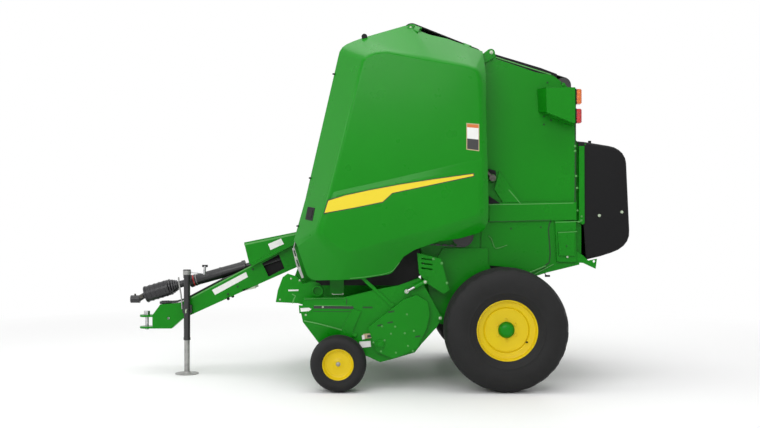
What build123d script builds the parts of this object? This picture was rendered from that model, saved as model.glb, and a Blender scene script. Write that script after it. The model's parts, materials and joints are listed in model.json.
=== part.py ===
"""Round baler with a wide tined pickup, belt chamber, hinged gate and net wrap cover.

Units are millimetres. X runs from the hitch (negative) to the rear, Y to the machine's right, Z up.
The origin is on the ground at the middle of the overall box. The machine stands on its main wheels,
its gauge wheels and the jack.
"""

import os
from math import atan2, cos, degrees, hypot, radians, sin

from build123d import *

os.makedirs("parts", exist_ok=True)

# Driving sizes of the whole machine
HALF_LENGTH = 2131
WALL_OUT = 800
SHEET = 8
WALL_IN = WALL_OUT - SHEET
FIT = 0.3
PIN_FIT = 0.05

# Main wheels
WHEEL_X = 1082
WHEEL_R = 489
WHEEL_Z = WHEEL_R
WHEEL_Y = 1057
TYRE_HALF = 178
RIM_R = 239.5
RIM_HALF = 142
BEAD_DROP = 5
SPINDLE_R = 30
SPINDLE_LONG = 40
HUB_CAP_R = 64
HUB_R = 105

# Gauge wheels
GAUGE_X = -238
GAUGE_R = 222
GAUGE_Y = 1090
GAUGE_HALF = 108
GAUGE_RIM_R = 123
GAUGE_RIM_HALF = 90
GAUGE_AXLE_R = 15

# Gate
GATE_HINGE_X = 996
GATE_HINGE_Z = 2715
GATE_FRONT_X = 915
GATE_REAR_X = 1690
GATE_PIN_R = 14
GATE_EAR_R = 32
LUG_X = 1000
LUG_Z = 1690

# Gate cylinders, between the walls and the shields
RAM_Y = 870
RAM_X = 150
RAM_Z = 2480
RAM_R = 36
RAM_ROD_R = 18
RAM_EYE_HALF = 26
RAM_BARREL = 960
RAM_BORE_FROM = 290
RAM_ROD_FROM = 300

# Side shields
SHIELD_IN = 830
SHIELD_OUT = 1120
SHIELD_SHEET = 8
SHIELD_RAISE = 12
SHIELD_HINGE_X = 310
SHIELD_HINGE_Y = 815
SHIELD_HINGE_Z = 2950
SHIELD_SLOPE = (909 - 310, 2727 - 2944)
SHIELD_HINGES = (90, 520)
KNUCKLE_LONG = 44
KNUCKLE_R = 10
LUG_LONG = 14
HINGE_PIN_R = 6

# Pickup
PIVOT_X = 563
PIVOT_Z = 565
PIVOT_R = 18
END_OUT = 960
END_SHEET = 6
END_IN = END_OUT - END_SHEET
REEL_X = -150
REEL_Z = 430
REEL_SHAFT_R = 22
TINE_R = 250
BAND_R = 172
BAND_PITCH = 74
BAND_WIDE = 44
BAND_SHEET = 5
BAND_COUNT = 25
BAND_BACK_X = 200

# Belts and rolls
BELT_COUNT = 8
BELT_WIDE = 176
BELT_GAP = 20
BELT_THICK = 8

# Drawbar and jack
BAR_OUT = 120
BAR_SHEET = 8
BAR_FRONT_X = -1660
BEAM_FRONT_X = -440
BEAM_REAR_X = -300
BEAM_LOW = 960
BEAM_TOP = 1150
GEARBOX_TOP = 1145
JACK_X = -1600
JACK_Y = -171
JACK_R = 28
LEG_R = 24
JACK_LOW = 295
JACK_TOP = 866
FOOT_R = 101

# Net cover
NET_HALF = WALL_IN - 6
NET_HINGE_X = 1768
NET_HINGE_Z = 1968
NET_PIN_R = 6


def side_plane(y):
    """A sketch plane across the machine: sketch x is X, sketch y is Z, and it faces the left side."""
    return Plane(origin=(0, y, 0), x_dir=(1, 0, 0), z_dir=(0, -1, 0))


def slab(points, inner, outer, mode=Mode.ADD):
    """A flat plate on the left side, its outline in (X, Z), from inner to outer distance off the middle."""
    with BuildSketch(side_plane(-inner)) as outline:
        with BuildLine():
            Polyline(*points, close=True)
        make_face()
    extrude(outline.sketch, amount=outer - inner, mode=mode)


def bar_across(x, z, radius, left, right, mode=Mode.ADD):
    """A round bar along Y from y = left to y = right."""
    with BuildSketch(side_plane(right)) as disc:
        with Locations((x, z)):
            Circle(radius)
    extrude(disc.sketch, amount=right - left, mode=mode)


def box_between(low, high, mode=Mode.ADD):
    """A box from its lowest to its highest corner."""
    size = [b - a for a, b in zip(low, high)]
    with Locations(tuple((a + b) / 2 for a, b in zip(low, high))):
        Box(*size, mode=mode)


def rod_between(start, end, radius, mode=Mode.ADD):
    """A straight round rod between two points in space."""
    direction = Vector(*end) - Vector(*start)
    with BuildSketch(Plane(origin=start, z_dir=direction)) as disc:
        Circle(radius)
    extrude(disc.sketch, amount=direction.length, mode=mode)


def both_sides():
    """Mirror what the current part holds to the right side."""
    mirror(about=Plane.XZ)


def hinge_plane(station):
    """A plane square to the left shield's hinge line, its x pointing inward and its y up."""
    length = hypot(*SHIELD_SLOPE)
    step_x, step_z = SHIELD_SLOPE[0] / length, SHIELD_SLOPE[1] / length
    origin = (SHIELD_HINGE_X + station * step_x, -SHIELD_HINGE_Y, SHIELD_HINGE_Z + station * step_z)
    return Plane(origin=origin, x_dir=(0, 1, 0), z_dir=(step_x, 0, step_z))


def keep(piece, label):
    """Label a finished piece and write it."""
    piece.part.label = label
    export_step(piece.part, f"parts/{label}.step")


def keep_pair(piece, name):
    """Keep a left piece and its mirrored right twin."""
    keep(piece, f"{name}_left")
    with BuildPart() as twin:
        mirror(piece.part, about=Plane.XZ)
    keep(twin, f"{name}_right")


# Side walls of the fixed front half, with the gate hinge ears and the shields' hinge posts
WALL_REAR_X = 905
WALL_OUTLINE = (
    (-455, BEAM_TOP), (-470, 1240), (-440, 1520), (-170, 2700), (-60, 2780), (300, 2900),
    (WALL_REAR_X, 2709), (WALL_REAR_X, 865), (720, 700), (600, 700), (470, 900), (420, 1130),
    (-205, 1130), (-205, 738), (-318, 738), (-318, 1130),
)
EAR_IN = WALL_OUT + 12
EAR_OUT = EAR_IN + 12
EAR_SPACER = ((800, 2640), (WALL_REAR_X, 2600), (WALL_REAR_X, 2690), (800, 2705))
EAR_OUTLINE = (
    (800, 2640), (WALL_REAR_X, 2600), (GATE_HINGE_X + 26, GATE_HINGE_Z - 38),
    (GATE_HINGE_X + 26, GATE_HINGE_Z + 10), (GATE_HINGE_X + 10, GATE_HINGE_Z + 26),
    (GATE_HINGE_X - 22, GATE_HINGE_Z + 24), (930, 2705), (800, 2705),
)
with BuildPart() as side_wall:
    slab(WALL_OUTLINE, WALL_IN, WALL_OUT)
    slab(EAR_SPACER, WALL_OUT, EAR_IN)
    slab(EAR_OUTLINE, EAR_IN, EAR_OUT)
    bar_across(GATE_HINGE_X, GATE_HINGE_Z, GATE_PIN_R, -EAR_OUT, -WALL_IN + 12)
    bar_across(RAM_X, RAM_Z, 40, -(RAM_Y - RAM_R - 1), -WALL_OUT)
    bar_across(RAM_X, RAM_Z, 14, -(RAM_Y - RAM_EYE_HALF - FIT), -WALL_OUT)
    to_wall = SHIELD_HINGE_Y - WALL_OUT
    for station in SHIELD_HINGES:
        for start in (station - KNUCKLE_LONG / 2 - LUG_LONG - FIT, station + KNUCKLE_LONG / 2 + FIT):
            with BuildSketch(hinge_plane(start)) as lug:
                Circle(KNUCKLE_R)
                Polygon((0, 0), (to_wall, 0), (to_wall, -70), (0, -70), align=None)
            extrude(lug.sketch, amount=LUG_LONG)
        with BuildSketch(hinge_plane(station - KNUCKLE_LONG / 2 - LUG_LONG)) as pin:
            Circle(HINGE_PIN_R)
        extrude(pin.sketch, amount=KNUCKLE_LONG + 2 * LUG_LONG)
keep_pair(side_wall, "side_wall")

# Front frame: sloped front panel, cross tubes and the beam that the drawbar is welded to
PANEL_LOW_X = -452
PANEL_LOW_Z = 1250
PANEL_TOP_X = -158
PANEL_TOP_Z = 2690
with BuildPart() as front_frame:
    with BuildSketch(side_plane(WALL_IN)) as section:
        with BuildLine():
            Polyline(
                (PANEL_LOW_X, PANEL_LOW_Z), (-421, 1520), (PANEL_TOP_X, PANEL_TOP_Z),
                (PANEL_TOP_X + 8, PANEL_TOP_Z), (-413, 1520), (PANEL_LOW_X + 8, PANEL_LOW_Z), close=True,
            )
        make_face()
    extrude(section.sketch, amount=2 * WALL_IN)
    box_between((BEAM_FRONT_X, -WALL_IN, BEAM_LOW), (BEAM_REAR_X, WALL_IN, BEAM_TOP))
    box_between((-100, -WALL_IN, 2700), (-40, WALL_IN, 2760))
    for x, z, radius in ((-330, 1400, 40), (-210, 2250, 35)):
        bar_across(x, z, radius, -WALL_IN, WALL_IN)
keep(front_frame, "front_frame")

# Rolls and belts. Each row of a loop is a roll: x, z and radius.
FRONT_LOOP = ((260, 1230, 88), (-20, 2610, 60), (350, 2893, 60), (863, 2700, 50), (760, 1220, 70))
REAR_LOOP = ((1095, 1080, 62), (1090, 2617, 50), (1586, 2452, 60), (1560, 1120, 62))
START_ROLLS = ((560, 985, 78), (745, 905, 72))
ROLL_HALF = WALL_IN - 6
JOURNAL_R = 18
RIBS = 8


def rolls(rows):
    """Round rolls across the chamber, clear of the walls, with journals that sit in them."""
    for x, z, radius in rows:
        bar_across(x, z, radius, -ROLL_HALF, ROLL_HALF)
        bar_across(x, z, JOURNAL_R, -WALL_IN, WALL_IN)


def belts(rows):
    """Flat belts side by side round one loop of rolls."""
    for index in range(BELT_COUNT):
        middle = (index - (BELT_COUNT - 1) / 2) * (BELT_WIDE + BELT_GAP)
        with BuildSketch(side_plane(middle + BELT_WIDE / 2)) as loop:
            for x, z, radius in rows:
                with Locations((x, z)):
                    Circle(radius + FIT + BELT_THICK)
            make_hull()
            with BuildSketch(side_plane(middle + BELT_WIDE / 2), mode=Mode.PRIVATE) as inside:
                for x, z, radius in rows:
                    with Locations((x, z)):
                        Circle(radius + FIT)
                make_hull()
            add(inside.sketch, mode=Mode.SUBTRACT)
        extrude(loop.sketch, amount=BELT_WIDE)


with BuildPart() as chamber_rolls:
    rolls(FRONT_LOOP + START_ROLLS)
    for x, z, radius in START_ROLLS:
        with BuildSketch(side_plane(ROLL_HALF)) as ribs:
            with Locations((x, z)):
                with PolarLocations(radius + 2, RIBS):
                    Rectangle(12, 10)
        extrude(ribs.sketch, amount=2 * ROLL_HALF)
keep(chamber_rolls, "chamber_rolls")

with BuildPart() as belts_front:
    belts(FRONT_LOOP)
keep(belts_front, "belts_front")

with BuildPart() as gate_rolls:
    rolls(REAR_LOOP)
keep(gate_rolls, "gate_rolls")

with BuildPart() as belts_rear:
    belts(REAR_LOOP)
keep(belts_rear, "belts_rear")

# Rubber flaps that close the sides over the pickup throat
with BuildPart() as throat_flaps:
    slab(
        ((BEAM_REAR_X + 8, 1138), (416, 1138), (430, 900), (330, 850), (250, 815), (BEAM_FRONT_X + 5, 815),
         (BEAM_FRONT_X + 5, BEAM_LOW - 2), (BEAM_REAR_X + 8, BEAM_LOW - 2)),
        WALL_IN - 12, WALL_IN - FIT,
    )
    both_sides()
keep(throat_flaps, "throat_flaps")

# Left drive, behind the shield: sprockets on shafts from the wall and the chains round them.
# Each row is the front sprocket (x, z, radius), the rear one and the run's inner face off the middle.
CHAIN_RUNS = (
    ((-370, 1055, 50), (260, 1230, 84), 814),
    ((260, 1230, 62), (760, 1220, 84), 828),
)
CHAIN_WIDE = 10
CHAIN_DEEP = 6
LINK_PITCH = 50
TEETH = 18
SHAFT_R = 18


def tangent(start, end, side):
    """The ends of the belt-like straight run on one side of two circles, each (x, z, radius)."""
    span = hypot(end[0] - start[0], end[1] - start[1])
    along_x, along_z = (end[0] - start[0]) / span, (end[1] - start[1]) / span
    lean = (start[2] - end[2]) / span
    rise = side * (1 - lean * lean) ** 0.5
    normal = (lean * along_x - rise * along_z, lean * along_z + rise * along_x)
    return tuple((x + radius * normal[0], z + radius * normal[1]) for x, z, radius in (start, end))


with BuildPart() as drive_chains:
    for start, end, inner in CHAIN_RUNS:
        with BuildSketch(side_plane(-inner)) as chain:
            for x, z, radius in (start, end):
                with Locations((x, z)):
                    Circle(radius + CHAIN_DEEP)
            make_hull()
            with BuildSketch(side_plane(-inner), mode=Mode.PRIVATE) as inside:
                for x, z, radius in (start, end):
                    with Locations((x, z)):
                        Circle(radius)
                make_hull()
            add(inside.sketch, mode=Mode.SUBTRACT)
            for side in (-1, 1):
                (x0, z0), (x1, z1) = tangent(start, end, side)
                links = int(hypot(x1 - x0, z1 - z0) / LINK_PITCH)
                slope_deg = degrees(atan2(z1 - z0, x1 - x0))
                for link in range(links):
                    share = (link + 0.5) / links
                    with Locations(Location((x0 + share * (x1 - x0), z0 + share * (z1 - z0)), slope_deg)):
                        Rectangle(LINK_PITCH * 0.6, 2 * CHAIN_DEEP + 4)
            for x, z, radius in (start, end):
                with Locations((x, z)):
                    with PolarLocations(radius, TEETH):
                        Rectangle(16, 6)
        extrude(chain.sketch, amount=CHAIN_WIDE)
        for x, z, radius in (start, end):
            bar_across(x, z, radius + 0.5, -inner - 7, -inner - 3)
            bar_across(x, z, SHAFT_R, -inner - CHAIN_WIDE, -WALL_OUT)
keep(drive_chains, "drive_chains")

# Drawbar: two side plates with a window, a floor and a top over the front part
BAR_OUTLINE = (
    (BAR_FRONT_X, 471), (-1009, 767), (-643, 930), (BEAM_FRONT_X, BEAM_LOW), (BEAM_FRONT_X, BEAM_TOP),
    (-614, BEAM_TOP), (-688, 1126), (-1054, 941), (BAR_FRONT_X, 622),
)
BAR_WINDOW = ((-947, 964), (-801, 1043), (-751, 919), (-891, 846))
with BuildPart() as drawbar:
    slab(BAR_OUTLINE, -BAR_OUT, BAR_OUT)
    with BuildSketch(side_plane(BAR_OUT - BAR_SHEET)) as hollow:
        with BuildLine():
            Polyline(
                (BAR_FRONT_X - 10, 475), (-1011, 777), (-646, 940), (BEAM_FRONT_X + 10, 970),
                (BEAM_FRONT_X + 10, 1400), (-1300, 1400), (-1300, 803), (BAR_FRONT_X - 10, 608), close=True,
            )
        make_face()
    extrude(hollow.sketch, amount=2 * (BAR_OUT - BAR_SHEET), mode=Mode.SUBTRACT)
    slab(BAR_WINDOW, -BAR_OUT - 5, BAR_OUT + 5, mode=Mode.SUBTRACT)
keep(drawbar, "drawbar")

# Hitch clevis with two ears, and its pin
EAR_HALF = 50
HITCH_X = -1988
HITCH_PIN_R = 16
CLEVIS_HOLE_X = -1788
CLEVIS_HOLE_Z = 473
CLEVIS_OUTLINE = (
    (-1930, 382), (-1930, 501), (-1860, 596), (-1700, 608), (BAR_FRONT_X, 622), (BAR_FRONT_X, 471),
    (-1760, 382),
)
with BuildPart() as hitch_clevis:
    slab(CLEVIS_OUTLINE, -EAR_HALF, EAR_HALF)
    for low, high in ((382, 399), (484, 501)):
        with BuildSketch(Plane.XY.offset(low)) as ear:
            with Locations(((HITCH_X - 1930) / 2, 0)):
                Rectangle(-1930 - HITCH_X, 2 * EAR_HALF)
            with Locations((HITCH_X, 0)):
                Circle(EAR_HALF + 12)
        extrude(ear.sketch, amount=high - low)
    with Locations(Plane(origin=(HITCH_X, 0, 300), z_dir=(0, 0, 1))):
        Cylinder(HITCH_PIN_R + PIN_FIT, 600, mode=Mode.SUBTRACT)
    bar_across(CLEVIS_HOLE_X, CLEVIS_HOLE_Z, 12, -EAR_HALF - 5, EAR_HALF + 5, mode=Mode.SUBTRACT)
keep(hitch_clevis, "hitch_clevis")

with BuildPart() as hitch_pin:
    with BuildSketch(Plane.XY.offset(370)):
        with Locations((HITCH_X, 0)):
            Circle(HITCH_PIN_R)
    extrude(amount=140)
    with BuildSketch(Plane.XY.offset(501 + FIT)):
        with Locations((HITCH_X, 0)):
            RegularPolygon(27, 6)
    extrude(amount=34)
keep(hitch_pin, "hitch_pin")

# The driveline slopes down from the gearbox to the hitch
LINE_SLOPE = (939 - 743) / (1796 - 1087)


def line_point(x):
    """A point of the driveline's centre line at a given X."""
    return (x, 0, 939 + (x + 1087) * LINE_SLOPE)


# Gearbox between the drawbar plates, with its output shaft to the left drive
with BuildPart() as gearbox:
    box_between((-640, -95, 985), (BEAM_FRONT_X, 95, GEARBOX_TOP))
    bar_across(-500, 1090, 60, -BAR_OUT + BAR_SHEET, 95)
    rod_between(line_point(-660 + FIT), line_point(-620), 36)
keep(gearbox, "gearbox")

# Folded cover over the gearbox and the rear end of the driveline, open below and at both ends
COVER_HALF = 200
GUARD_SHEET = 6
GEAR_COVER = ((-1097, 1150), (-1050, 956), (-690, 1150), (-600, 1195), (-600, 1248), (-640, 1242))
GEAR_COVER_HOLLOW = ((-1110, 1141), (-640, 1236), (-590, 1243), (-590, 900), (-1110, 900))
with BuildPart() as gearbox_shield:
    slab(GEAR_COVER, -COVER_HALF, COVER_HALF)
    slab(GEAR_COVER_HOLLOW, -COVER_HALF + GUARD_SHEET, COVER_HALF - GUARD_SHEET, mode=Mode.SUBTRACT)
    box_between((-634, -60, GEARBOX_TOP), (-612, 60, 1241))
keep(gearbox_shield, "gearbox_shield")

# Driveline: guard tubes, bell and the splined yoke for the tractor
YOKE_Z = 640
YOKE_R = 34
SPLINE_R = 17.5
with BuildPart() as driveline:
    rod_between(line_point(-1796), line_point(-1600), 31)
    rod_between(line_point(-1605), line_point(-1110), 49)
    rod_between(line_point(-1110), line_point(-660), 24)
    rod_between((-2000, 0, 680), line_point(-1790), 70)
    rod_between((-2065, 0, YOKE_Z), (-1995, 0, 682), 26)
    rod_between((-HALF_LENGTH, 0, YOKE_Z), (-2050, 0, YOKE_Z), YOKE_R)
    rod_between((-HALF_LENGTH - 1, 0, YOKE_Z), (-2055, 0, YOKE_Z), SPLINE_R, mode=Mode.SUBTRACT)
keep(driveline, "driveline")

# Hydraulic hoses from a block in the drawbar to their couplings on the clevis. Each row of a route is
# x, distance from the middle and z.
HOSE_R = 8
COUPLING_R = 12
HOSE_ROUTES = (
    ((-700, 98, 1030), (-1300, 98, 822), (-1640, 40, 643), (-1720, 38, 619), (-1800, 38, 614)),
    ((-700, 78, 1048), (-1300, 78, 822), (-1640, 14, 643), (-1720, 12, 619), (-1770, 12, 615)),
)
with BuildPart() as hoses:
    for route in HOSE_ROUTES:
        points = [(x, -y, z) for x, y, z in route]
        for start, end in zip(points, points[1:]):
            rod_between(start, end, HOSE_R)
            with Locations(end):
                Sphere(HOSE_R)
        tip_x, tip_y, tip_z = points[-1]
        rod_between((tip_x - 65, tip_y, tip_z - 3), points[-1], COUPLING_R)
    box_between((-712, -BAR_OUT + BAR_SHEET + FIT, 1005), (-690, -62, 1070))
    both_sides()
keep(hoses, "hoses")

# Jack: outer tube on the drawbar's left side, sliding leg with its foot, and the crank
with BuildPart() as jack_tube:
    with BuildSketch(Plane.XY.offset(JACK_LOW)):
        with Locations((JACK_X, JACK_Y)):
            Circle(JACK_R)
    extrude(amount=JACK_TOP - JACK_LOW)
    with BuildSketch(Plane.XY.offset(JACK_TOP)):
        with Locations((JACK_X, JACK_Y)):
            Circle(JACK_R + 6)
    extrude(amount=45)
    box_between((JACK_X - 40, JACK_Y, 530), (JACK_X + 40, -BAR_OUT, 600))
    with BuildSketch(Plane.XY.offset(JACK_LOW)):
        with Locations((JACK_X, JACK_Y)):
            Circle(LEG_R + PIN_FIT)
    extrude(amount=JACK_TOP - JACK_LOW - 10, mode=Mode.SUBTRACT)
keep(jack_tube, "jack_tube")

with BuildPart() as jack_leg:
    with BuildSketch(Plane.XY):
        with Locations((JACK_X, JACK_Y)):
            Circle(FOOT_R)
    extrude(amount=8)
    with BuildSketch(Plane.XY.offset(8)):
        with Locations((JACK_X, JACK_Y)):
            Circle(LEG_R)
    extrude(amount=560)
keep(jack_leg, "jack_leg")

with BuildPart() as jack_crank:
    rod_between((JACK_X + JACK_R + 7.5, JACK_Y, 890), (-1450, JACK_Y, 880), 8)
    rod_between((-1450, JACK_Y, 868), (-1442, JACK_Y, 945), 11)
keep(jack_crank, "jack_crank")

# The pickup's lift rams hang outboard of its end plates
LIFT_X = 450
LIFT_Z = 858
LIFT_ROD_X = 302
LIFT_ROD_Z = 782
LIFT_Y = 997
LIFT_R = 20
LIFT_ROD_R = 11
LIFT_EYE_HALF = 20
LIFT_BARREL = 95
LIFT_BORE_FROM = 24
LIFT_ROD_FROM = 72
BRACKET_IN = END_OUT + 6
BRACKET_OUT = BRACKET_IN + 6
LIFT_BRACKET = ((387, 1088), (578, 1041), (645, 792), (599, 759), (463, 846), (402, 925))
SLOTS = 3
SLOT_PITCH = 38
SLOT_TOP_Z = 1049
CARRIER_SPACER = ((600, 1120), (900, 1120), (900, 862), (720, 705), (610, 705), (480, 905))
CARRIER_PLATE = (
    (480, 905), (487, 770), (520, 620), (520, 520), (900, 430), (1000, 400), (1160, 400),
    (1180, 560), (970, 1000), (970, 1120), (600, 1120),
)

# Axle: carrier plates outside the gate's path, the axle beam, the spindles, the pickup's pivot pins
# and the slotted brackets for the lift rams
with BuildPart() as axle_beam:
    slab(LIFT_BRACKET, BRACKET_IN, BRACKET_OUT)
    for row in range(SLOTS):
        z = SLOT_TOP_Z - SLOT_PITCH * row
        slot = ((421, z), (510, z - 12), (510, z - 24), (421, z - 12))
        slab(slot, BRACKET_IN - 1, BRACKET_OUT + 1, mode=Mode.SUBTRACT)
    slab(((560, 1030), (577, 1035), (610, 905), (585, 885)), EAR_OUT, BRACKET_IN)
    bar_across(LIFT_X, LIFT_Z, 10, -(LIFT_Y - LIFT_EYE_HALF - FIT), -BRACKET_IN)
    slab(CARRIER_SPACER, WALL_OUT, EAR_IN)
    slab(CARRIER_PLATE, EAR_IN, EAR_OUT)
    bar_across(WHEEL_X, WHEEL_Z, SPINDLE_R, -(WHEEL_Y + SPINDLE_LONG), -EAR_OUT)
    bar_across(WHEEL_X, WHEEL_Z, SPINDLE_R + 22, -(WHEEL_Y - 100), -EAR_OUT)
    bar_across(PIVOT_X, PIVOT_Z, PIVOT_R, -END_OUT - 8, -EAR_OUT)
    both_sides()
    box_between((WHEEL_X - 60, -EAR_IN, WHEEL_Z - 60), (WHEEL_X + 60, EAR_IN, WHEEL_Z + 60))
keep(axle_beam, "axle_beam")

# Rams. Each row of barrels and rods is built on the left and mirrored, one node for both sides.
def along(start, end, distance):
    """A point on the line from start to end, a given distance from start, in (X, Z)."""
    length = hypot(end[0] - start[0], end[1] - start[1])
    return tuple(a + (b - a) * distance / length for a, b in zip(start, end))


EYE_RATIO = 1.5


def ram(barrel_name, rod_name, base, eye, y, radius, rod_radius, barrel_long, bore_from, rod_from, eye_half):
    """A hydraulic ram on both sides. Lengths are along the ram from the base pin, at rest."""
    with BuildPart() as barrel:
        bar_across(*base, radius, -(y + eye_half), -(y - eye_half))
        near = along(base, eye, radius * 0.6)
        far = along(base, eye, barrel_long)
        rod_between((near[0], -y, near[1]), (far[0], -y, far[1]), radius)
        bore = along(base, eye, bore_from)
        beyond = along(base, eye, barrel_long + 5)
        bore_radius = rod_radius + PIN_FIT
        rod_between((bore[0], -y, bore[1]), (beyond[0], -y, beyond[1]), bore_radius, mode=Mode.SUBTRACT)
        both_sides()
    keep(barrel, barrel_name)
    with BuildPart() as rod:
        bar_across(*eye, rod_radius * EYE_RATIO, -(y + eye_half), -(y - eye_half))
        inner = along(base, eye, rod_from)
        rod_between((inner[0], -y, inner[1]), (eye[0], -y, eye[1]), rod_radius)
        both_sides()
    keep(rod, rod_name)


ram(
    "gate_barrels", "gate_rods", (RAM_X, RAM_Z), (LUG_X, LUG_Z), RAM_Y, RAM_R, RAM_ROD_R,
    RAM_BARREL, RAM_BORE_FROM, RAM_ROD_FROM, RAM_EYE_HALF,
)
ram(
    "lift_barrels", "lift_rods", (LIFT_X, LIFT_Z), (LIFT_ROD_X, LIFT_ROD_Z), LIFT_Y, LIFT_R, LIFT_ROD_R,
    LIFT_BARREL, LIFT_BORE_FROM, LIFT_ROD_FROM, LIFT_EYE_HALF,
)

# Gate walls with the beam band, the ram lug and its gusset, and the housing at the rear corner
GATE_OUTLINE = (
    (GATE_FRONT_X, 2680), (GATE_FRONT_X, 985), (1300, 950), (1396, 941), (1502, 1007), (GATE_REAR_X, 1003),
    (GATE_REAR_X, 2370), (1660, 2400), (1600, 2455), (1503, 2529), (1362, 2555), (1141, 2631), (1040, 2664),
    (GATE_HINGE_X + GATE_EAR_R, GATE_HINGE_Z), (GATE_HINGE_X - GATE_EAR_R, GATE_HINGE_Z), (955, 2690),
)
REAR_BRACKET = (
    (GATE_REAR_X, 1003), (1747, 999), (1850, 951), (1861, 1034), (1790, 1018), (1747, 1060),
    (GATE_REAR_X, 1100),
)
BRACKET_HOLE_X = 1836
BRACKET_HOLE_Z = 1012
BRACKET_HOLE_R = 10
GATE_BAND = ((980, 1333), (GATE_REAR_X, 1350), (GATE_REAR_X, 1496), (980, 1490))
GATE_GUSSET = ((1020, 1600), (1060, 1745), (1100, 1700), (1240, 1495), (1090, 1492))
LUG_R = 34
REAR_HOUSING = ((1530, 1010), (1685, 1006), (1685, 1340), (1515, 1345))
HOUSING_PLATE = ((1545, 1060), (1670, 1056), (1672, 1250), (1535, 1254))
with BuildPart() as gate_wall:
    slab(GATE_OUTLINE, WALL_IN, WALL_OUT)
    slab(REAR_BRACKET, WALL_IN, WALL_OUT)
    bar_across(GATE_HINGE_X, GATE_HINGE_Z, GATE_EAR_R, -WALL_OUT, -WALL_IN)
    for x, z, radius in (
        (GATE_HINGE_X, GATE_HINGE_Z, GATE_PIN_R + PIN_FIT),
        (BRACKET_HOLE_X, BRACKET_HOLE_Z, BRACKET_HOLE_R),
    ):
        bar_across(x, z, radius, -WALL_OUT - 1, -WALL_IN + 1, mode=Mode.SUBTRACT)
    slab(GATE_BAND, WALL_OUT, WALL_OUT + 20)
    slab(GATE_GUSSET, WALL_OUT, WALL_OUT + 24)
    bar_across(LUG_X, LUG_Z, LUG_R, -(RAM_Y - RAM_EYE_HALF - FIT), -WALL_OUT)
    slab(REAR_HOUSING, WALL_OUT, WALL_OUT + 26)
    slab(HOUSING_PLATE, WALL_OUT + 26, WALL_OUT + 38)
keep_pair(gate_wall, "gate_wall")

# Gate frame: cross beams between the gate walls. Each row is low x, low z, high x, high z.
GATE_BEAMS = ((1660, 2290, 1690, 2366), (1656, 1960, 1690, 2040), (1640, 1010, 1690, 1110))
with BuildPart() as gate_frame:
    for low_x, low_z, high_x, high_z in GATE_BEAMS:
        box_between((low_x, -WALL_IN, low_z), (high_x, WALL_IN, high_z))
keep(gate_frame, "gate_frame")

# Net wrap box: cheeks and floor behind the gate
CHEEK_OUTLINE = (
    (GATE_REAR_X, 1003), (1742, 1000), (1742, 1870), (NET_HINGE_X + 9, NET_HINGE_Z - 4),
    (NET_HINGE_X, NET_HINGE_Z + 9), (NET_HINGE_X - 9, NET_HINGE_Z - 2), (1733, 1900), (1733, 1975),
    (GATE_REAR_X, 2010),
)
with BuildPart() as net_box:
    for side in (-1, 1):
        cheek = NET_HALF - 40
        with BuildSketch(side_plane(side * cheek + 4)) as cheek_outline:
            with BuildLine():
                Polyline(*CHEEK_OUTLINE, close=True)
            make_face()
        extrude(cheek_outline.sketch, amount=8)
        pin_ends = sorted((side * cheek, side * NET_HALF))
        bar_across(NET_HINGE_X, NET_HINGE_Z, NET_PIN_R, *pin_ends)
    box_between((GATE_REAR_X, -NET_HALF + 44, 1006), (1742, NET_HALF - 44, 1014))
keep(net_box, "net_box")

# Net cover: a moulded shell that hinges up at its top
COVER_OUTLINE = ((1755, 1990), (2010, 1948), (2105, 1860), (HALF_LENGTH, 1203), (2040, 1094), (1755, 1021))
COVER_SHELL = 6
with BuildPart() as net_cover:
    with BuildSketch(side_plane(NET_HALF)) as cover_outline:
        with BuildLine():
            Polyline(*COVER_OUTLINE, close=True)
        make_face()
        fillet(cover_outline.vertices().sort_by(Axis.X)[2:], 40)
    extrude(cover_outline.sketch, amount=2 * NET_HALF)
    offset(amount=-COVER_SHELL, openings=net_cover.faces().sort_by(Axis.X)[0])
    pin_bore = NET_PIN_R + PIN_FIT
    bar_across(NET_HINGE_X, NET_HINGE_Z, pin_bore, -NET_HALF - 1, NET_HALF + 1, mode=Mode.SUBTRACT)
keep(net_cover, "net_cover")

# Lamp wings: bent sheets that stand out from the gate, with the lamps on their rear ends
WING_OUT = 980
WING_OUTLINE = (
    (1353, 2389), (1408, 2413), (1648, 2421), (1672, 2389), (1672, 2134), (1648, 2118), (1408, 2206),
    (1353, 2254),
)
WING_BEND = (
    (1353, -WALL_OUT), (1408, -WING_OUT), (1672, -WING_OUT), (1672, -WALL_OUT - 30),
    (1667, -WALL_OUT - 30), (1667, -WING_OUT + 5), (1412, -WING_OUT + 5), (1358, -WALL_OUT),
)
with BuildPart() as lamp_wing:
    with BuildSketch(Plane.XY.offset(2100)) as bend:
        with BuildLine():
            Polyline(*WING_BEND, close=True)
        make_face()
    extrude(bend.sketch, amount=340)
    slab(WING_OUTLINE, WALL_OUT, WING_OUT + 1, mode=Mode.INTERSECT)
keep_pair(lamp_wing, "lamp_wing")

for name, low, high in (("lamps_amber", 2275, 2400), ("lamps_red", 2130, 2246)):
    with BuildPart() as lamps:
        box_between((1672 + FIT, -WING_OUT + 8, low), (1704, -WING_OUT + 108, high))
        fillet(lamps.edges().filter_by(Axis.X), 12)
        both_sides()
    keep(lamps, name)

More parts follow.
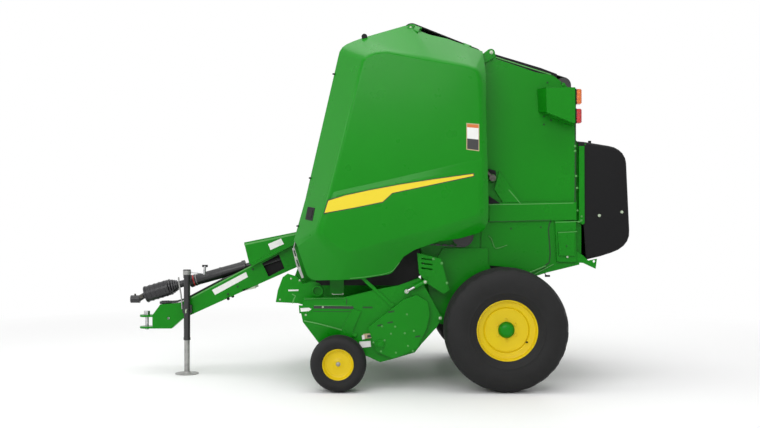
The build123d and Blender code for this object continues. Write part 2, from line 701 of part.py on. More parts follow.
# Side shields: lofted from a broad inner outline to the flat outer face, open below and behind.
# Each row is face x, face z, inner x, inner z.
SHIELD_ROWS = (
    (-62, 2538, -233, 2761),
    (50, 2660, -40, 2835),
    (142, 2673, 310, 2944),
    (815, 2555, 1000, 2694),
    (875, 2489, 1200, 2600),
    (905, 1420, 1250, 1420),
    (797, 1332, 1100, 1000),
    (98, 1131, 98, 560),
    (-173, 1086, -250, 500),
    (-384, 1241, -640, 1050),
    (-393, 1351, -614, 1200),
    (-315, 1546, -518, 1513),
)
SHIELD_CUT = (
    (-800, 3100), (905, 3100), (925, 2692), (930, 2137), (947, 1477), (926, 1309), (842, 1260), (719, 1204),
    (561, 1183), (363, 1115), (277, 1060), (209, 958), (150, 915), (-63, 881), (-447, 864), (-499, 896),
    (-578, 1147), (-800, 1400),
)
STEP_LINE = ((-279, 1579), (897, 1846))


def shield_loft(inward, mode):
    """The closed form between the inner outline and the outer face, made smaller by a sheet's thickness."""
    with BuildSketch(side_plane(-SHIELD_IN)) as base:
        with BuildLine():
            Polyline(*[(row[2], row[3]) for row in SHIELD_ROWS], close=True)
        make_face()
        if inward:
            offset(amount=-inward, kind=Kind.INTERSECTION, mode=Mode.REPLACE)
    with BuildSketch(side_plane(-SHIELD_OUT + inward)) as face:
        with BuildLine():
            Polyline(*[(row[0], row[1]) for row in SHIELD_ROWS], close=True)
        make_face()
        if inward:
            offset(amount=-inward, kind=Kind.INTERSECTION, mode=Mode.REPLACE)
    loft([base.sketch, face.sketch], ruled=True, mode=mode)


with BuildPart() as shield:
    shield_loft(0, Mode.ADD)
    shield_loft(SHIELD_SHEET, Mode.SUBTRACT)
    slab(SHIELD_CUT, SHIELD_IN - 1, SHIELD_OUT + 1, mode=Mode.INTERSECT)
    lower = [(row[0], row[1]) for row in SHIELD_ROWS[5:]]
    with BuildSketch(side_plane(-SHIELD_OUT)) as raised:
        with BuildLine():
            Polyline(STEP_LINE[0], STEP_LINE[1], *lower, close=True)
        make_face()
        offset(amount=-2, kind=Kind.INTERSECTION, mode=Mode.REPLACE)
    extrude(raised.sketch, amount=SHIELD_RAISE, taper=30)
    for station in SHIELD_HINGES:
        with BuildSketch(hinge_plane(station - KNUCKLE_LONG / 2)) as strap:
            Circle(KNUCKLE_R)
            Polygon((0, 8), (-15, 2), (-57, -38), (-57, -50), (-15, -14), (0, -8), align=None)
            Circle(HINGE_PIN_R + PIN_FIT, mode=Mode.SUBTRACT)
        extrude(strap.sketch, amount=KNUCKLE_LONG)
keep_pair(shield, "shield")

# Pickup frame: end plates, back sheet, cross tube and floor
END_OUTLINE = (
    (-518, 727), (-197, 732), (55, 793), (237, 827), (411, 888), (585, 567), (542, 489), (424, 359),
    (368, 289), (194, 237), (90, 211), (-23, 263), (-396, 359), (-527, 532), (-544, 610),
)
GUARD_X = -470
GUARD_Z = 690
GUARD_PIN_R = 12
LIFT_STUD_R = 14
STRUT = ((194, 678), (176, 659), (-79, 895), (-61, 915))
STRUT_X = 187
STRUT_Z = 669
TOP_FLANGE = ((-517, 722), (-200, 727), (-200, 732), (-517, 727))
with BuildPart() as pickup_frame:
    slab(END_OUTLINE, END_IN, END_OUT)
    bar_across(PIVOT_X, PIVOT_Z, 28, -END_OUT, -END_IN)
    bar_across(PIVOT_X, PIVOT_Z, PIVOT_R + PIN_FIT, -END_OUT - 1, -END_IN + 1, mode=Mode.SUBTRACT)
    bar_across(REEL_X, REEL_Z, REEL_SHAFT_R + PIN_FIT, -END_OUT - 1, -END_IN + 1, mode=Mode.SUBTRACT)
    bar_across(GUARD_X, GUARD_Z, GUARD_PIN_R, -END_IN, -WALL_OUT - 4)
    bar_across(LIFT_ROD_X, LIFT_ROD_Z, LIFT_STUD_R, -(LIFT_Y - LIFT_EYE_HALF - FIT), -END_IN)
    slab(STRUT, END_OUT, END_OUT + 8)
    bar_across(STRUT_X, STRUT_Z, 18, -END_OUT - 12, -END_OUT)
    slab(TOP_FLANGE, END_OUT, END_OUT + 22)
    both_sides()
    box_between((BAND_BACK_X, -END_IN, 318), (BAND_BACK_X + 6, END_IN, 640))
    bar_across(330, 560, 45, -END_IN, END_IN)
keep(pickup_frame, "pickup_frame")

# Stripper bands: closed loops round the reel, cut open at the back sheet
BAND_LOOP = ((REEL_X, REEL_Z, BAND_R), (230, 600, 24), (230, 350, 24))
with BuildPart() as pickup_bands:
    for index in range(BAND_COUNT):
        middle = (index - (BAND_COUNT - 1) / 2) * BAND_PITCH
        with BuildSketch(side_plane(middle + BAND_WIDE / 2)) as band:
            for x, z, radius in BAND_LOOP:
                with Locations((x, z)):
                    Circle(radius)
            make_hull()
            with BuildSketch(side_plane(middle + BAND_WIDE / 2), mode=Mode.PRIVATE) as inside:
                for x, z, radius in BAND_LOOP:
                    with Locations((x, z)):
                        Circle(radius - BAND_SHEET)
                make_hull()
            add(inside.sketch, mode=Mode.SUBTRACT)
            with Locations((BAND_BACK_X + 100, 475)):
                Rectangle(200, 500, mode=Mode.SUBTRACT)
        extrude(band.sketch, amount=BAND_WIDE)
keep(pickup_bands, "pickup_bands")

# Reel: shaft, carrier discs, four tine bars and the tines between the bands
TINE_BARS = 4
TINE_BAR_R = 120
TINE_WIDE = 6
TINE_SHAPE = ((TINE_BAR_R - 4, -4), (175, -12), (TINE_R, 2), (TINE_R, 8), (175, -4), (TINE_BAR_R - 4, 6))
with BuildPart() as pickup_reel:
    bar_across(REEL_X, REEL_Z, REEL_SHAFT_R, 1 - END_OUT, END_OUT - 1)
    for y in (-912, -456, 0, 456, 912):
        bar_across(REEL_X, REEL_Z, TINE_BAR_R + 18, y - 4, y + 4)
    for bar in range(TINE_BARS):
        angle = radians(45 + 360 / TINE_BARS * bar)
        bar_across(REEL_X + TINE_BAR_R * cos(angle), REEL_Z + TINE_BAR_R * sin(angle), 15, -916, 916)
    for index in range(BAND_COUNT - 1):
        middle = (index - (BAND_COUNT - 2) / 2) * BAND_PITCH
        with BuildSketch(side_plane(middle + TINE_WIDE / 2)) as tines:
            with Locations((REEL_X, REEL_Z)):
                with PolarLocations(0, TINE_BARS, start_angle=45):
                    Polygon(*TINE_SHAPE, align=None)
        extrude(tines.sketch, amount=TINE_WIDE)
keep(pickup_reel, "pickup_reel")

# Cover over the pickup's chain drive, on the left end plate
DRIVE_OUTLINE = (
    (-6, 493), (280, 718), (384, 753), (470, 700), (488, 597), (461, 480), (384, 325), (194, 245), (60, 300),
)
DRIVE_OUT = 1000
with BuildPart() as pickup_drive_cover:
    slab(DRIVE_OUTLINE, END_OUT + FIT, DRIVE_OUT)
    fillet(pickup_drive_cover.edges().filter_by(Axis.Y), 25)
keep(pickup_drive_cover, "pickup_drive_cover")

# Windguard: side plates between the walls and the shields, and the press roller they carry
GUARD_IN = WALL_OUT + 6
GUARD_OUT = GUARD_IN + 6
GUARD_OUTLINE = (
    (-760, 680), (-743, 777), (-703, 884), (-662, 913), (-596, 892), (-539, 826), (-470, 850),
    (-405, 836), (-368, 785), (-372, 705), (-445, 660), (-500, 648), (-579, 671),
)
PRESS_ROLL_X = -640
PRESS_ROLL_Z = 705
PRESS_ROLL_R = 32
CUP_X = -418
CUP_Z = 772
CUP_R = 46
CUP_BORE_R = 34
CUP_DEEP = 38
with BuildPart() as windguard:
    slab(GUARD_OUTLINE, GUARD_IN, GUARD_OUT)
    bar_across(GUARD_X, GUARD_Z, GUARD_PIN_R + PIN_FIT, -GUARD_OUT - 1, -GUARD_IN + 1, mode=Mode.SUBTRACT)
    bar_across(CUP_X, CUP_Z, CUP_R, -GUARD_OUT - CUP_DEEP, -GUARD_OUT)
    bar_across(CUP_X, CUP_Z, CUP_BORE_R, -GUARD_OUT - CUP_DEEP - 1, -GUARD_OUT - 8, mode=Mode.SUBTRACT)
    both_sides()
    bar_across(PRESS_ROLL_X, PRESS_ROLL_Z, PRESS_ROLL_R, -GUARD_IN, GUARD_IN)
keep(windguard, "windguard")

# Gauge wheel arms and stub axles
ARM_OUTLINE = ((-275, 185), (-200, 185), (-120, 480), (-60, 620), (-130, 640), (-220, 470))
with BuildPart() as gauge_arms:
    slab(ARM_OUTLINE, END_OUT, END_OUT + 12)
    bar_across(GAUGE_X, GAUGE_R, GAUGE_AXLE_R, -(GAUGE_Y + 60), -END_OUT)
    both_sides()
keep(gauge_arms, "gauge_arms")


# Wheels. A profile row is radius and offset from the wheel's middle plane, outboard positive.
def wheel_ring(x, y, z, rows):
    """Turn a closed profile about the axle. Rows are (radius, outboard offset)."""
    with BuildSketch(Plane(origin=(x, -y, z), x_dir=(1, 0, 0), z_dir=(0, 0, 1))) as section:
        with BuildLine():
            Polyline(*[(radius, -out) for radius, out in rows], close=True)
        make_face()
    revolve(section.sketch, axis=Axis((x, -y, z), (0, 1, 0)))


TYRE_ROWS = (
    (WHEEL_R, 0), (WHEEL_R - 6, 120), (WHEEL_R - 40, 162), (370, TYRE_HALF), (262, 155),
    (RIM_R + FIT, RIM_HALF + 4), (RIM_R + FIT, RIM_HALF - 6), (RIM_R - BEAD_DROP, RIM_HALF - 6),
)


def both_halves(rows):
    """Repeat the rows of one half of a ring on its other half."""
    return tuple(rows) + tuple((radius, -out) for radius, out in reversed(rows) if out)


with BuildPart() as main_tyre:
    wheel_ring(WHEEL_X, WHEEL_Y, WHEEL_Z, both_halves(TYRE_ROWS))
keep_pair(main_tyre, "main_tyre")


def rim_barrel(flange_radius, half, wall):
    """The rows of a rim's barrel: bead seats between two flanges, and a wall of the given depth."""
    seat = flange_radius - BEAD_DROP - FIT
    lip = half - 6 + FIT
    outside = ((flange_radius, half + 4), (flange_radius, lip), (seat, lip))
    inside = ((seat - wall, half - 12), (flange_radius - wall, half + 4))
    mirrored = tuple((radius, -out) for radius, out in reversed(outside))
    return outside + mirrored + tuple((radius, -out) for radius, out in reversed(inside)) + inside


DISC_FACE = 66
DISC_SHEET = 8
with BuildPart() as main_rim:
    wheel_ring(WHEEL_X, WHEEL_Y, WHEEL_Z, rim_barrel(RIM_R, RIM_HALF, 9))
    barrel_in = RIM_R - BEAD_DROP - 8
    wheel_ring(
        WHEEL_X, WHEEL_Y, WHEEL_Z,
        ((barrel_in, 56), (178, 90), (152, 94), (122, DISC_FACE), (HUB_CAP_R + FIT, DISC_FACE),
         (HUB_CAP_R + FIT, DISC_FACE - DISC_SHEET), (125, DISC_FACE - DISC_SHEET), (154, 86), (175, 82),
         (barrel_in, 48)),
    )
keep_pair(main_rim, "main_rim")

with BuildPart() as main_hub:
    bar_across(WHEEL_X, WHEEL_Z, 60, -(WHEEL_Y + 50), -(WHEEL_Y - 60))
    bar_across(WHEEL_X, WHEEL_Z, HUB_R, -(WHEEL_Y + DISC_FACE - DISC_SHEET), -(WHEEL_Y + 40))
    bar_across(WHEEL_X, WHEEL_Z, HUB_CAP_R, -(WHEEL_Y + 118), -(WHEEL_Y + 50))
    bore = SPINDLE_R + PIN_FIT
    bar_across(WHEEL_X, WHEEL_Z, bore, -(WHEEL_Y + SPINDLE_LONG + 5), -(WHEEL_Y - 61), mode=Mode.SUBTRACT)
keep_pair(main_hub, "main_hub")

GAUGE_TYRE_ROWS = (
    (GAUGE_R, 0), (GAUGE_R - 4, 62), (GAUGE_R - 16, 88), (GAUGE_R - 50, GAUGE_HALF), (150, 102),
    (GAUGE_RIM_R + FIT, GAUGE_RIM_HALF + 4), (GAUGE_RIM_R + FIT, GAUGE_RIM_HALF - 6),
    (GAUGE_RIM_R - BEAD_DROP, GAUGE_RIM_HALF - 6),
)
with BuildPart() as gauge_tyre:
    wheel_ring(GAUGE_X, GAUGE_Y, GAUGE_R, both_halves(GAUGE_TYRE_ROWS))
keep_pair(gauge_tyre, "gauge_tyre")

with BuildPart() as gauge_rim:
    wheel_ring(GAUGE_X, GAUGE_Y, GAUGE_R, rim_barrel(GAUGE_RIM_R, GAUGE_RIM_HALF, 6))
    barrel_in = GAUGE_RIM_R - BEAD_DROP - 5
    bore = GAUGE_AXLE_R + PIN_FIT
    wheel_ring(
        GAUGE_X, GAUGE_Y, GAUGE_R,
        ((barrel_in, 44), (70, 28), (40, 30), (34, 52), (bore, 52), (bore, -40), (30, -40), (30, 20),
         (70, 20), (barrel_in, 36)),
    )
keep_pair(gauge_rim, "gauge_rim")
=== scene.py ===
"""Looks of the round baler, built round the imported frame.

Metres. X runs from the hitch to the rear, Y to the machine's right, Z up.
"""

import json
import math

import bmesh
import bpy
from mathutils import Matrix, Vector
from mathutils.bvhtree import BVHTree

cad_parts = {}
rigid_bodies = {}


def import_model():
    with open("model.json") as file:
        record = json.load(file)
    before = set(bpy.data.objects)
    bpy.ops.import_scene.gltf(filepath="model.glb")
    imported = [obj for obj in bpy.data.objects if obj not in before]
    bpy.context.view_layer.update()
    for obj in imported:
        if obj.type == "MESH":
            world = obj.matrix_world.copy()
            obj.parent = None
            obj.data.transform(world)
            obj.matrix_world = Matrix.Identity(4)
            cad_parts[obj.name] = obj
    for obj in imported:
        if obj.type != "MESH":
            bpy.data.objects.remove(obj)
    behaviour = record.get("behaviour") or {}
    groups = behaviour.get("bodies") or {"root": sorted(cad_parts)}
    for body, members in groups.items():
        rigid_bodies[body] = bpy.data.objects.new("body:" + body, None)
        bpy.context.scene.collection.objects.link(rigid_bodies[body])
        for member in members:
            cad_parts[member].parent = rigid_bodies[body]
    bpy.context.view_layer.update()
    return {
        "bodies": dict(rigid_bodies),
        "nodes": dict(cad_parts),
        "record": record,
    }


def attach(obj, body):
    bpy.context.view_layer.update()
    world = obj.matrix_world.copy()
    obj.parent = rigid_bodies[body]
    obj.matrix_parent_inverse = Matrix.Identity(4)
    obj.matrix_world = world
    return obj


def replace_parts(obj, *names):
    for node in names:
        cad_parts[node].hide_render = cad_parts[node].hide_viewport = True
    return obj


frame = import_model()
NODES = frame["nodes"]

# The photograph's camera: level, on the machine's left, 50 mm lens on a 36 mm sensor
CAMERA_X = 0.09
CAMERA_Y = -9.415
CAMERA_Z = 1.3985
LENS = 50.0
SENSOR = 36.0
FOCAL_PX = 760 * LENS / SENSOR
CENTRE_PX = (380, 214)

LEFT, RIGHT = -1, 1
SIDES = {LEFT: "left", RIGHT: "right"}

# Distances off the middle of the surfaces that the pieces lie on
WALL_OUT = 0.8
BAND_OUT = 0.82
SHIELD_FACE = 1.12
PANEL_FACE = 1.132
END_OUT = 0.96
DRIVE_OUT = 1.0
BRACKET_OUT = 0.972
BAR_OUT = 0.12
COVER_OUT = 0.2
GUARD_OUT = 0.812
STAY_OUT = 0.853
WING_OUT = 0.98
NET_OUT = 0.786


def at_pixel(px, py, out):
    """(X, Z) of what the photograph's pixel shows in the plane a distance off the middle, on the left."""
    scale = (-out - CAMERA_Y) / FOCAL_PX
    return CAMERA_X + (px - CENTRE_PX[0]) * scale, CAMERA_Z + (CENTRE_PX[1] - py) * scale


def outline_px(points, out):
    """An outline in (X, Z) from pixels."""
    return [at_pixel(px, py, out) for px, py in points]


def hit_on(skin, px, py):
    """Where the sight line of a pixel meets a skin, and the skin's outward normal there."""
    eye = Vector((CAMERA_X, CAMERA_Y, CAMERA_Z))
    sight = Vector(((px - CENTRE_PX[0]) / FOCAL_PX, 1.0, (CENTRE_PX[1] - py) / FOCAL_PX)).normalized()
    place, normal, _, _ = skin.ray_cast(eye, sight)
    if normal and normal.y > 0:
        normal = -normal
    return place, normal


# Materials
def node(tree, kind, **inputs):
    """Add a shader node and set its inputs by name."""
    made = tree.nodes.new(kind)
    for name, value in inputs.items():
        made.inputs[name.replace("_", " ")].default_value = value
    return made


def link(source, output, target, socket):
    """Join an output of one node to a socket of another."""
    source.id_data.links.new(source.outputs[output], target.inputs[socket])


def set_ramp(ramp, *stops):
    """Set the stops of a colour ramp, each a position and a colour."""
    for element, (position, colour) in zip(ramp.color_ramp.elements, stops):
        element.position = position
        element.color = (*colour, 1)


def shader_of(made):
    """The Principled shader of a material."""
    return made.node_tree.nodes["Principled BSDF"]


def material(name, colour, roughness, **sockets):
    """A Principled material with its even values set on the shader's own sockets."""
    made = bpy.data.materials.new(name)
    made.use_nodes = True
    sockets |= {"Base_Color": (*colour, 1), "Roughness": roughness}
    for socket, value in sockets.items():
        shader_of(made).inputs[socket.replace("_", " ")].default_value = value
    return made


def on_surface(made, kind, **inputs):
    """A texture laid out by the object's own coordinates."""
    texture = node(made.node_tree, kind, **inputs)
    link(made.node_tree.nodes.new("ShaderNodeTexCoord"), "Object", texture, "Vector")
    return texture


def clouds(made, first, second, scale, detail=4.0):
    """Clouds between two close colours over the surface."""
    noise = on_surface(made, "ShaderNodeTexNoise", Scale=scale, Detail=detail)
    ramp = made.node_tree.nodes.new("ShaderNodeValToRGB")
    set_ramp(ramp, (0.3, first), (0.7, second))
    link(noise, "Fac", ramp, "Fac")
    link(ramp, "Color", shader_of(made), "Base Color")


def smudges(made, low, high, scale):
    """Roughness that drifts between two values."""
    noise = on_surface(made, "ShaderNodeTexNoise", Scale=scale, Detail=3.0)
    spread = node(made.node_tree, "ShaderNodeMapRange", To_Min=low, To_Max=high)
    link(noise, "Fac", spread, "Value")
    link(spread, "Result", shader_of(made), "Roughness")


def grain(made, scale, depth, edge_radius=0.0, texture="ShaderNodeTexNoise"):
    """Fine relief of a finish, and edges rounded in the shading."""
    relief = on_surface(made, texture, Scale=scale)
    bump = node(made.node_tree, "ShaderNodeBump", Strength=1.0, Distance=depth)
    link(relief, "Fac" if "Fac" in relief.outputs else "Distance", bump, "Height")
    if edge_radius:
        rounded = node(made.node_tree, "ShaderNodeBevel", Radius=edge_radius)
        rounded.samples = 4
        link(rounded, "Normal", bump, "Normal")
    link(bump, "Normal", shader_of(made), "Normal")


def make_finish(name, colour, roughness, sockets, *detail):
    """One finish with its clouds, smudges and grain."""
    made = material(name, colour, roughness, **sockets)
    for add, values in zip((clouds, smudges, grain), detail):
        if values:
            add(made, *values)
    return made


GREEN = (0.0035, 0.232, 0.004)
GREEN_DEEP = (0.003, 0.21, 0.0035)
YELLOW = (0.74, 0.56, 0.003)
RUBBER = (0.0095, 0.0095, 0.0097)
CELLS = "ShaderNodeTexVoronoi"
LENS_REST = (0.12, {"Coat_Weight": 0.6, "Transmission_Weight": 0.25}, (), (), (120.0, 0.001, 0.0, CELLS))
STICKER_REST = (0.3, {"Coat_Weight": 0.2}, (), (), (500.0, 0.00002))
# Colour, roughness, shader settings, then what clouds(), smudges() and grain() take
FINISHES = {
    "green_paint": (
        GREEN, 0.28, {"Coat_Weight": 0.04, "Coat_Roughness": 0.12, "Specular_IOR_Level": 0.18},
        (GREEN, GREEN_DEEP, 1.4), (0.25, 0.32, 6.0), (900.0, 0.00002, 0.004),
    ),
    # A lighter copy of the green paint: painted highlight on lips, rails, creases, folds, flanges, links and
    # bolt heads
    "green_edge": (
        (0.07, 0.33, 0.055), 0.34, {"Coat_Weight": 0.1, "Coat_Roughness": 0.15},
        ((0.075, 0.34, 0.06), (0.06, 0.31, 0.05), 5.0),
    ),
    "seam_shadow": ((0.003, 0.05, 0.004), 0.7, {}, (), (), (500.0, 0.00002)),
    "yellow_paint": (
        YELLOW, 0.36, {"Coat_Weight": 0.06, "Coat_Roughness": 0.15, "Specular_IOR_Level": 0.25},
        (YELLOW, (0.73, 0.53, 0.005), 4.0), (), (900.0, 0.00002, 0.002),
    ),
    "yellow_film": ((0.8, 0.63, 0.01), 0.3, {"Coat_Weight": 0.2}, (), (0.26, 0.34, 9.0)),
    "black_paint": (
        (0.01, 0.01, 0.011), 0.38, {"Coat_Weight": 0.2, "Coat_Roughness": 0.2},
        (), (0.32, 0.46, 9.0), (700.0, 0.00003, 0.003),
    ),
    "black_plastic": (
        (0.0085, 0.0085, 0.0092), 0.42, {"Specular_IOR_Level": 0.14},
        (), (0.42, 0.55, 5.0), (1400.0, 0.0001, 0.006),
    ),
    "guard_plastic": ((0.014, 0.014, 0.016), 0.32, {}, (), (0.28, 0.42, 12.0), (900.0, 0.00006, 0.003)),
    "tyre_rubber": (
        RUBBER, 0.66, {"Specular_IOR_Level": 0.26},
        (RUBBER, (0.0125, 0.0125, 0.0128), 7.0), (), (1100.0, 0.00025),
    ),
    "belt_rubber": ((0.008, 0.008, 0.008), 0.75, {}, (), (), (260.0, 0.0012, 0.0, CELLS)),
    "steel": (
        (0.52, 0.52, 0.53), 0.36, {"Metallic": 1.0},
        ((0.56, 0.56, 0.57), (0.4, 0.4, 0.41), 30.0), (0.26, 0.46, 40.0), (600.0, 0.00004, 0.0015),
    ),
    "zinc": ((0.42, 0.5, 0.37), 0.38, {"Metallic": 0.35}, (), (0.3, 0.5, 60.0)),
    "chain_steel": (
        (0.1, 0.095, 0.085), 0.42, {"Metallic": 0.9}, ((0.12, 0.115, 0.1), (0.05, 0.045, 0.04), 50.0),
    ),
    "galvanised": (
        (0.36, 0.36, 0.35), 0.5, {"Metallic": 0.7},
        ((0.4, 0.4, 0.385), (0.27, 0.27, 0.262), 22.0, 8.0), (), (300.0, 0.0001, 0.002),
    ),
    "amber_lens": ((0.8, 0.17, 0.01), *LENS_REST),
    "red_lens": ((0.6, 0.008, 0.008), *LENS_REST),
    "decal_white": ((0.8, 0.8, 0.78), *STICKER_REST),
    "decal_orange": ((0.62, 0.15, 0.02), *STICKER_REST),
    "decal_black": ((0.02, 0.018, 0.02), *STICKER_REST),
    "decal_red": ((0.5, 0.02, 0.02), *STICKER_REST),
    "decal_tan": ((0.5, 0.38, 0.22), *STICKER_REST),
}
FINISH = {name: make_finish(name, *row) for name, row in FINISHES.items()}
# The record's slot of each finish that isn't a slot itself
NODE_FINISH = {
    "driveline": "guard_plastic", "jack_leg": "galvanised", "pickup_reel": "green_paint",
    "hoses": "guard_plastic", "drive_chains": "black_paint", "gate_rods": "chain_steel",
}


def dress_nodes():
    """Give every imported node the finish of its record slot, or a finer one."""
    slots = {row["node"]: row["material_slot"] for row in frame["record"]["subparts"]}
    for name, obj in NODES.items():
        finish = FINISH[NODE_FINISH.get(name, slots[name])]
        if not obj.material_slots:
            obj.data.materials.append(finish)
        for material_slot in obj.material_slots:
            material_slot.material = finish


# Mesh building
def settle(obj, body):
    """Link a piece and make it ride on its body."""
    bpy.context.scene.collection.objects.link(obj)
    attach(obj, body)
    return obj


def piece(name, bm, body, finish, smooth_deg=35.0):
    """Turn a mesh under construction into a finished piece."""
    mesh = bpy.data.meshes.new(name)
    bmesh.ops.recalc_face_normals(bm, faces=bm.faces)
    bm.to_mesh(mesh)
    bm.free()
    mesh.materials.append(FINISH[finish])
    mesh.shade_smooth()
    mesh.set_sharp_from_angle(angle=math.radians(smooth_deg))
    return settle(bpy.data.objects.new(name, mesh), body)


def rod(name, points, radius, body, finish, order=3):
    """A bent rod or a held hose through its control points."""
    curve = bpy.data.curves.new(name, "CURVE")
    curve.dimensions = "3D"
    curve.bevel_depth = radius
    curve.bevel_resolution = 3
    curve.resolution_u = 8
    curve.use_fill_caps = True
    spline = curve.splines.new("NURBS")
    spline.points.add(len(points) - 1)
    for spot, point in zip(spline.points, points):
        spot.co = (*point, 1)
    spline.order_u = order
    spline.use_endpoint_u = True
    curve.materials.append(FINISH[finish])
    return settle(bpy.data.objects.new(name, curve), body)


def prism(bm, outline, near, far):
    """A shape cut in (X, Z), from y = near to y = far."""
    front = [bm.verts.new((x, near, z)) for x, z in outline]
    back = [bm.verts.new((x, far, z)) for x, z in outline]
    bm.faces.new(front)
    bm.faces.new(list(reversed(back)))
    for index in range(len(outline)):
        bm.faces.new((front[index], front[index - 1], back[index - 1], back[index]))


def box(bm, low, high):
    """A box from its lowest to its highest corner."""
    prism(bm, ((low[0], low[2]), (high[0], low[2]), (high[0], high[2]), (low[0], high[2])), low[1], high[1])


def turned(place, facing):
    """A placement whose Z axis points along facing."""
    return Matrix.Translation(place) @ Vector(facing).to_track_quat("Z", "Y").to_matrix().to_4x4()


def cone(bm, start, end, first, second, segments=20):
    """A round or many-sided bar between two points, with a radius at each end."""
    start, end = Vector(start), Vector(end)
    bmesh.ops.create_cone(
        bm, cap_ends=True, segments=segments, radius1=first, radius2=second, depth=(end - start).length,
        matrix=turned((start + end) / 2, end - start),
    )


def sleeve(bm, start, end, inner, outer, segments=32):
    """A hollow round sleeve between two points."""
    frame_of = turned(Vector(start), Vector(end) - Vector(start))
    length = (Vector(end) - Vector(start)).length
    rings = []
    for radius, height in ((inner, 0), (outer, 0), (outer, length), (inner, length)):
        ring = []
        for step in range(segments):
            angle = 2 * math.pi * step / segments
            spot = Vector((radius * math.cos(angle), radius * math.sin(angle), height))
            ring.append(bm.verts.new(frame_of @ spot))
        rings.append(ring)
    for first, second in zip(rings, rings[1:] + rings[:1]):
        for step in range(segments):
            after = (step + 1) % segments
            bm.faces.new((first[step], first[after], second[after], second[step]))


def inset(outline, depth):
    """An outline in (X, Z) drawn in by a depth, corner by corner. It runs clockwise as the camera sees it."""
    moved = []
    for index, (x, z) in enumerate(outline):
        x0, z0 = outline[index - 1]
        x1, z1 = outline[(index + 1) % len(outline)]
        before = Vector((x - x0, z - z0)).normalized()
        after = Vector((x1 - x, z1 - z)).normalized()
        along = (before + after).normalized()
        inward = Vector((along.y, -along.x))
        stretch = max(0.5, inward.dot(Vector((before.y, -before.x))))
        moved.append((x + inward.x * depth / stretch, z + inward.y * depth / stretch))
    return moved


def stud(side, place, near, far, first, second, segments=20):
    """What cone() takes for a round bar that stands out from a side at a place in (X, Z)."""
    x, z = place
    return (x, side * near, z), (x, side * far, z), first, second, segments


def cones(name, body, finish, *bars):
    """A piece of round bars, each of them what cone() takes."""
    bm = bmesh.new()
    for bar in bars:
        cone(bm, *bar)
    piece(name, bm, body, finish)


def prisms(name, side, body, finish, *shapes):
    """A piece of flat shapes on one side, each an outline in (X, Z) and two distances off the middle."""
    bm = bmesh.new()
    for outline, near, far in shapes:
        prism(bm, outline, side * near, side * far)
    piece(name, bm, body, finish)


def add_bolt(bm, place, facing, size):
    """A hex head on its washer, size being half the distance over its corners."""
    place, facing = Vector(place), Vector(facing).normalized()
    cone(bm, place, place + facing * size * 0.22, size * 1.3, size * 1.26, 16)
    cone(bm, place + facing * size * 0.2, place + facing * size * 0.85, size, size, 6)
    cone(bm, place + facing * size * 0.84, place + facing * size * 1.0, size * 0.86, size * 0.6, 12)


def on_side(body, side):
    """A body by its own name, or the one of a pair that belongs to a side."""
    return body if body in frame["bodies"] else f"{body}_{SIDES[side]}"


def side_bolts(name, body, finish, out, size, spots, sides=SIDES):
    """Bolts at places in (X, Z) on a side plane, and their twins on the other side."""
    for side in sides:
        bm = bmesh.new()
        for x, z in spots:
            add_bolt(bm, (x, side * out, z), (0, side, 0), size)
        piece(f"{name}_{SIDES[side]}", bm, on_side(body, side), finish)


def side_plate(name, body, finish, inner, outer, outline, sides=SIDES):
    """A flat plate in (X, Z) between two distances off the middle, on one side or both."""
    for side in sides:
        prisms(f"{name}_{SIDES[side]}", side, on_side(body, side), finish, (outline, inner, outer))


def ribbon(points, width):
    """The outline of a strip of even width along a line in (X, Z)."""
    left, right = [], []
    for index, (x, z) in enumerate(points):
        x0, z0 = points[max(index - 1, 0)]
        x1, z1 = points[min(index + 1, len(points) - 1)]
        length = math.hypot(x1 - x0, z1 - z0)
        step_x, step_z = -(z1 - z0) / length * width / 2, (x1 - x0) / length * width / 2
        left.append((x + step_x, z + step_z))
        right.append((x - step_x, z - step_z))
    return left + right[::-1]


def side_line(name, body, finish, out, width, pixels, sides=SIDES):
    """A thin line on a side plane: painted shade in a seam or slot, a painted highlight along a lip or fold,
    or a thin white line.
    """
    outline = ribbon(outline_px(pixels, out), width)
    side_plate(name, body, finish, out - 0.0005, out + 0.0006, outline, sides)


def lathe(bm, rows, centre, side, segments, lug_rows=(), lug_depth=0.0, lug_every=6):
    """Turn a profile about a wheel's axle. Rows are radius and outboard offset, closed on itself
    unless it starts on the axle. Rows named in lug_rows are notched round the tyre."""
    rings = []
    for number, (radius, out) in enumerate(rows):
        y = centre[1] + side * out
        if radius == 0:
            rings.append([bm.verts.new((centre[0], y, centre[2]))])
            continue
        ring = []
        for step in range(segments):
            angle = 2 * math.pi * step / segments
            notch = lug_depth if number in lug_rows and step % lug_every < lug_every / 3 else 0.0
            reach = radius - notch
            spot = (centre[0] + reach * math.cos(angle), y, centre[2] + reach * math.sin(angle))
            ring.append(bm.verts.new(spot))
        rings.append(ring)
    pairs = list(zip(rings, rings[1:]))
    if len(rings[0]) > 1:
        pairs.append((rings[-1], rings[0]))
    for first, second in pairs:
        for step in range(segments):
            after = (step + 1) % segments
            if len(first) == 1:
                bm.faces.new((first[0], second[after], second[step]))
            elif len(second) == 1:
                bm.faces.new((first[step], first[after], second[0]))
            else:
                bm.faces.new((first[step], first[after], second[after], second[step]))


def turned_piece(name, rows, centre, side, segments, body, finish, smooth_deg, *lugs):
    """A piece turned about a wheel's axle."""
    bm = bmesh.new()
    lathe(bm, rows, centre, side, segments, *lugs)
    return piece(name, bm, body, finish, smooth_deg)


dress_nodes()

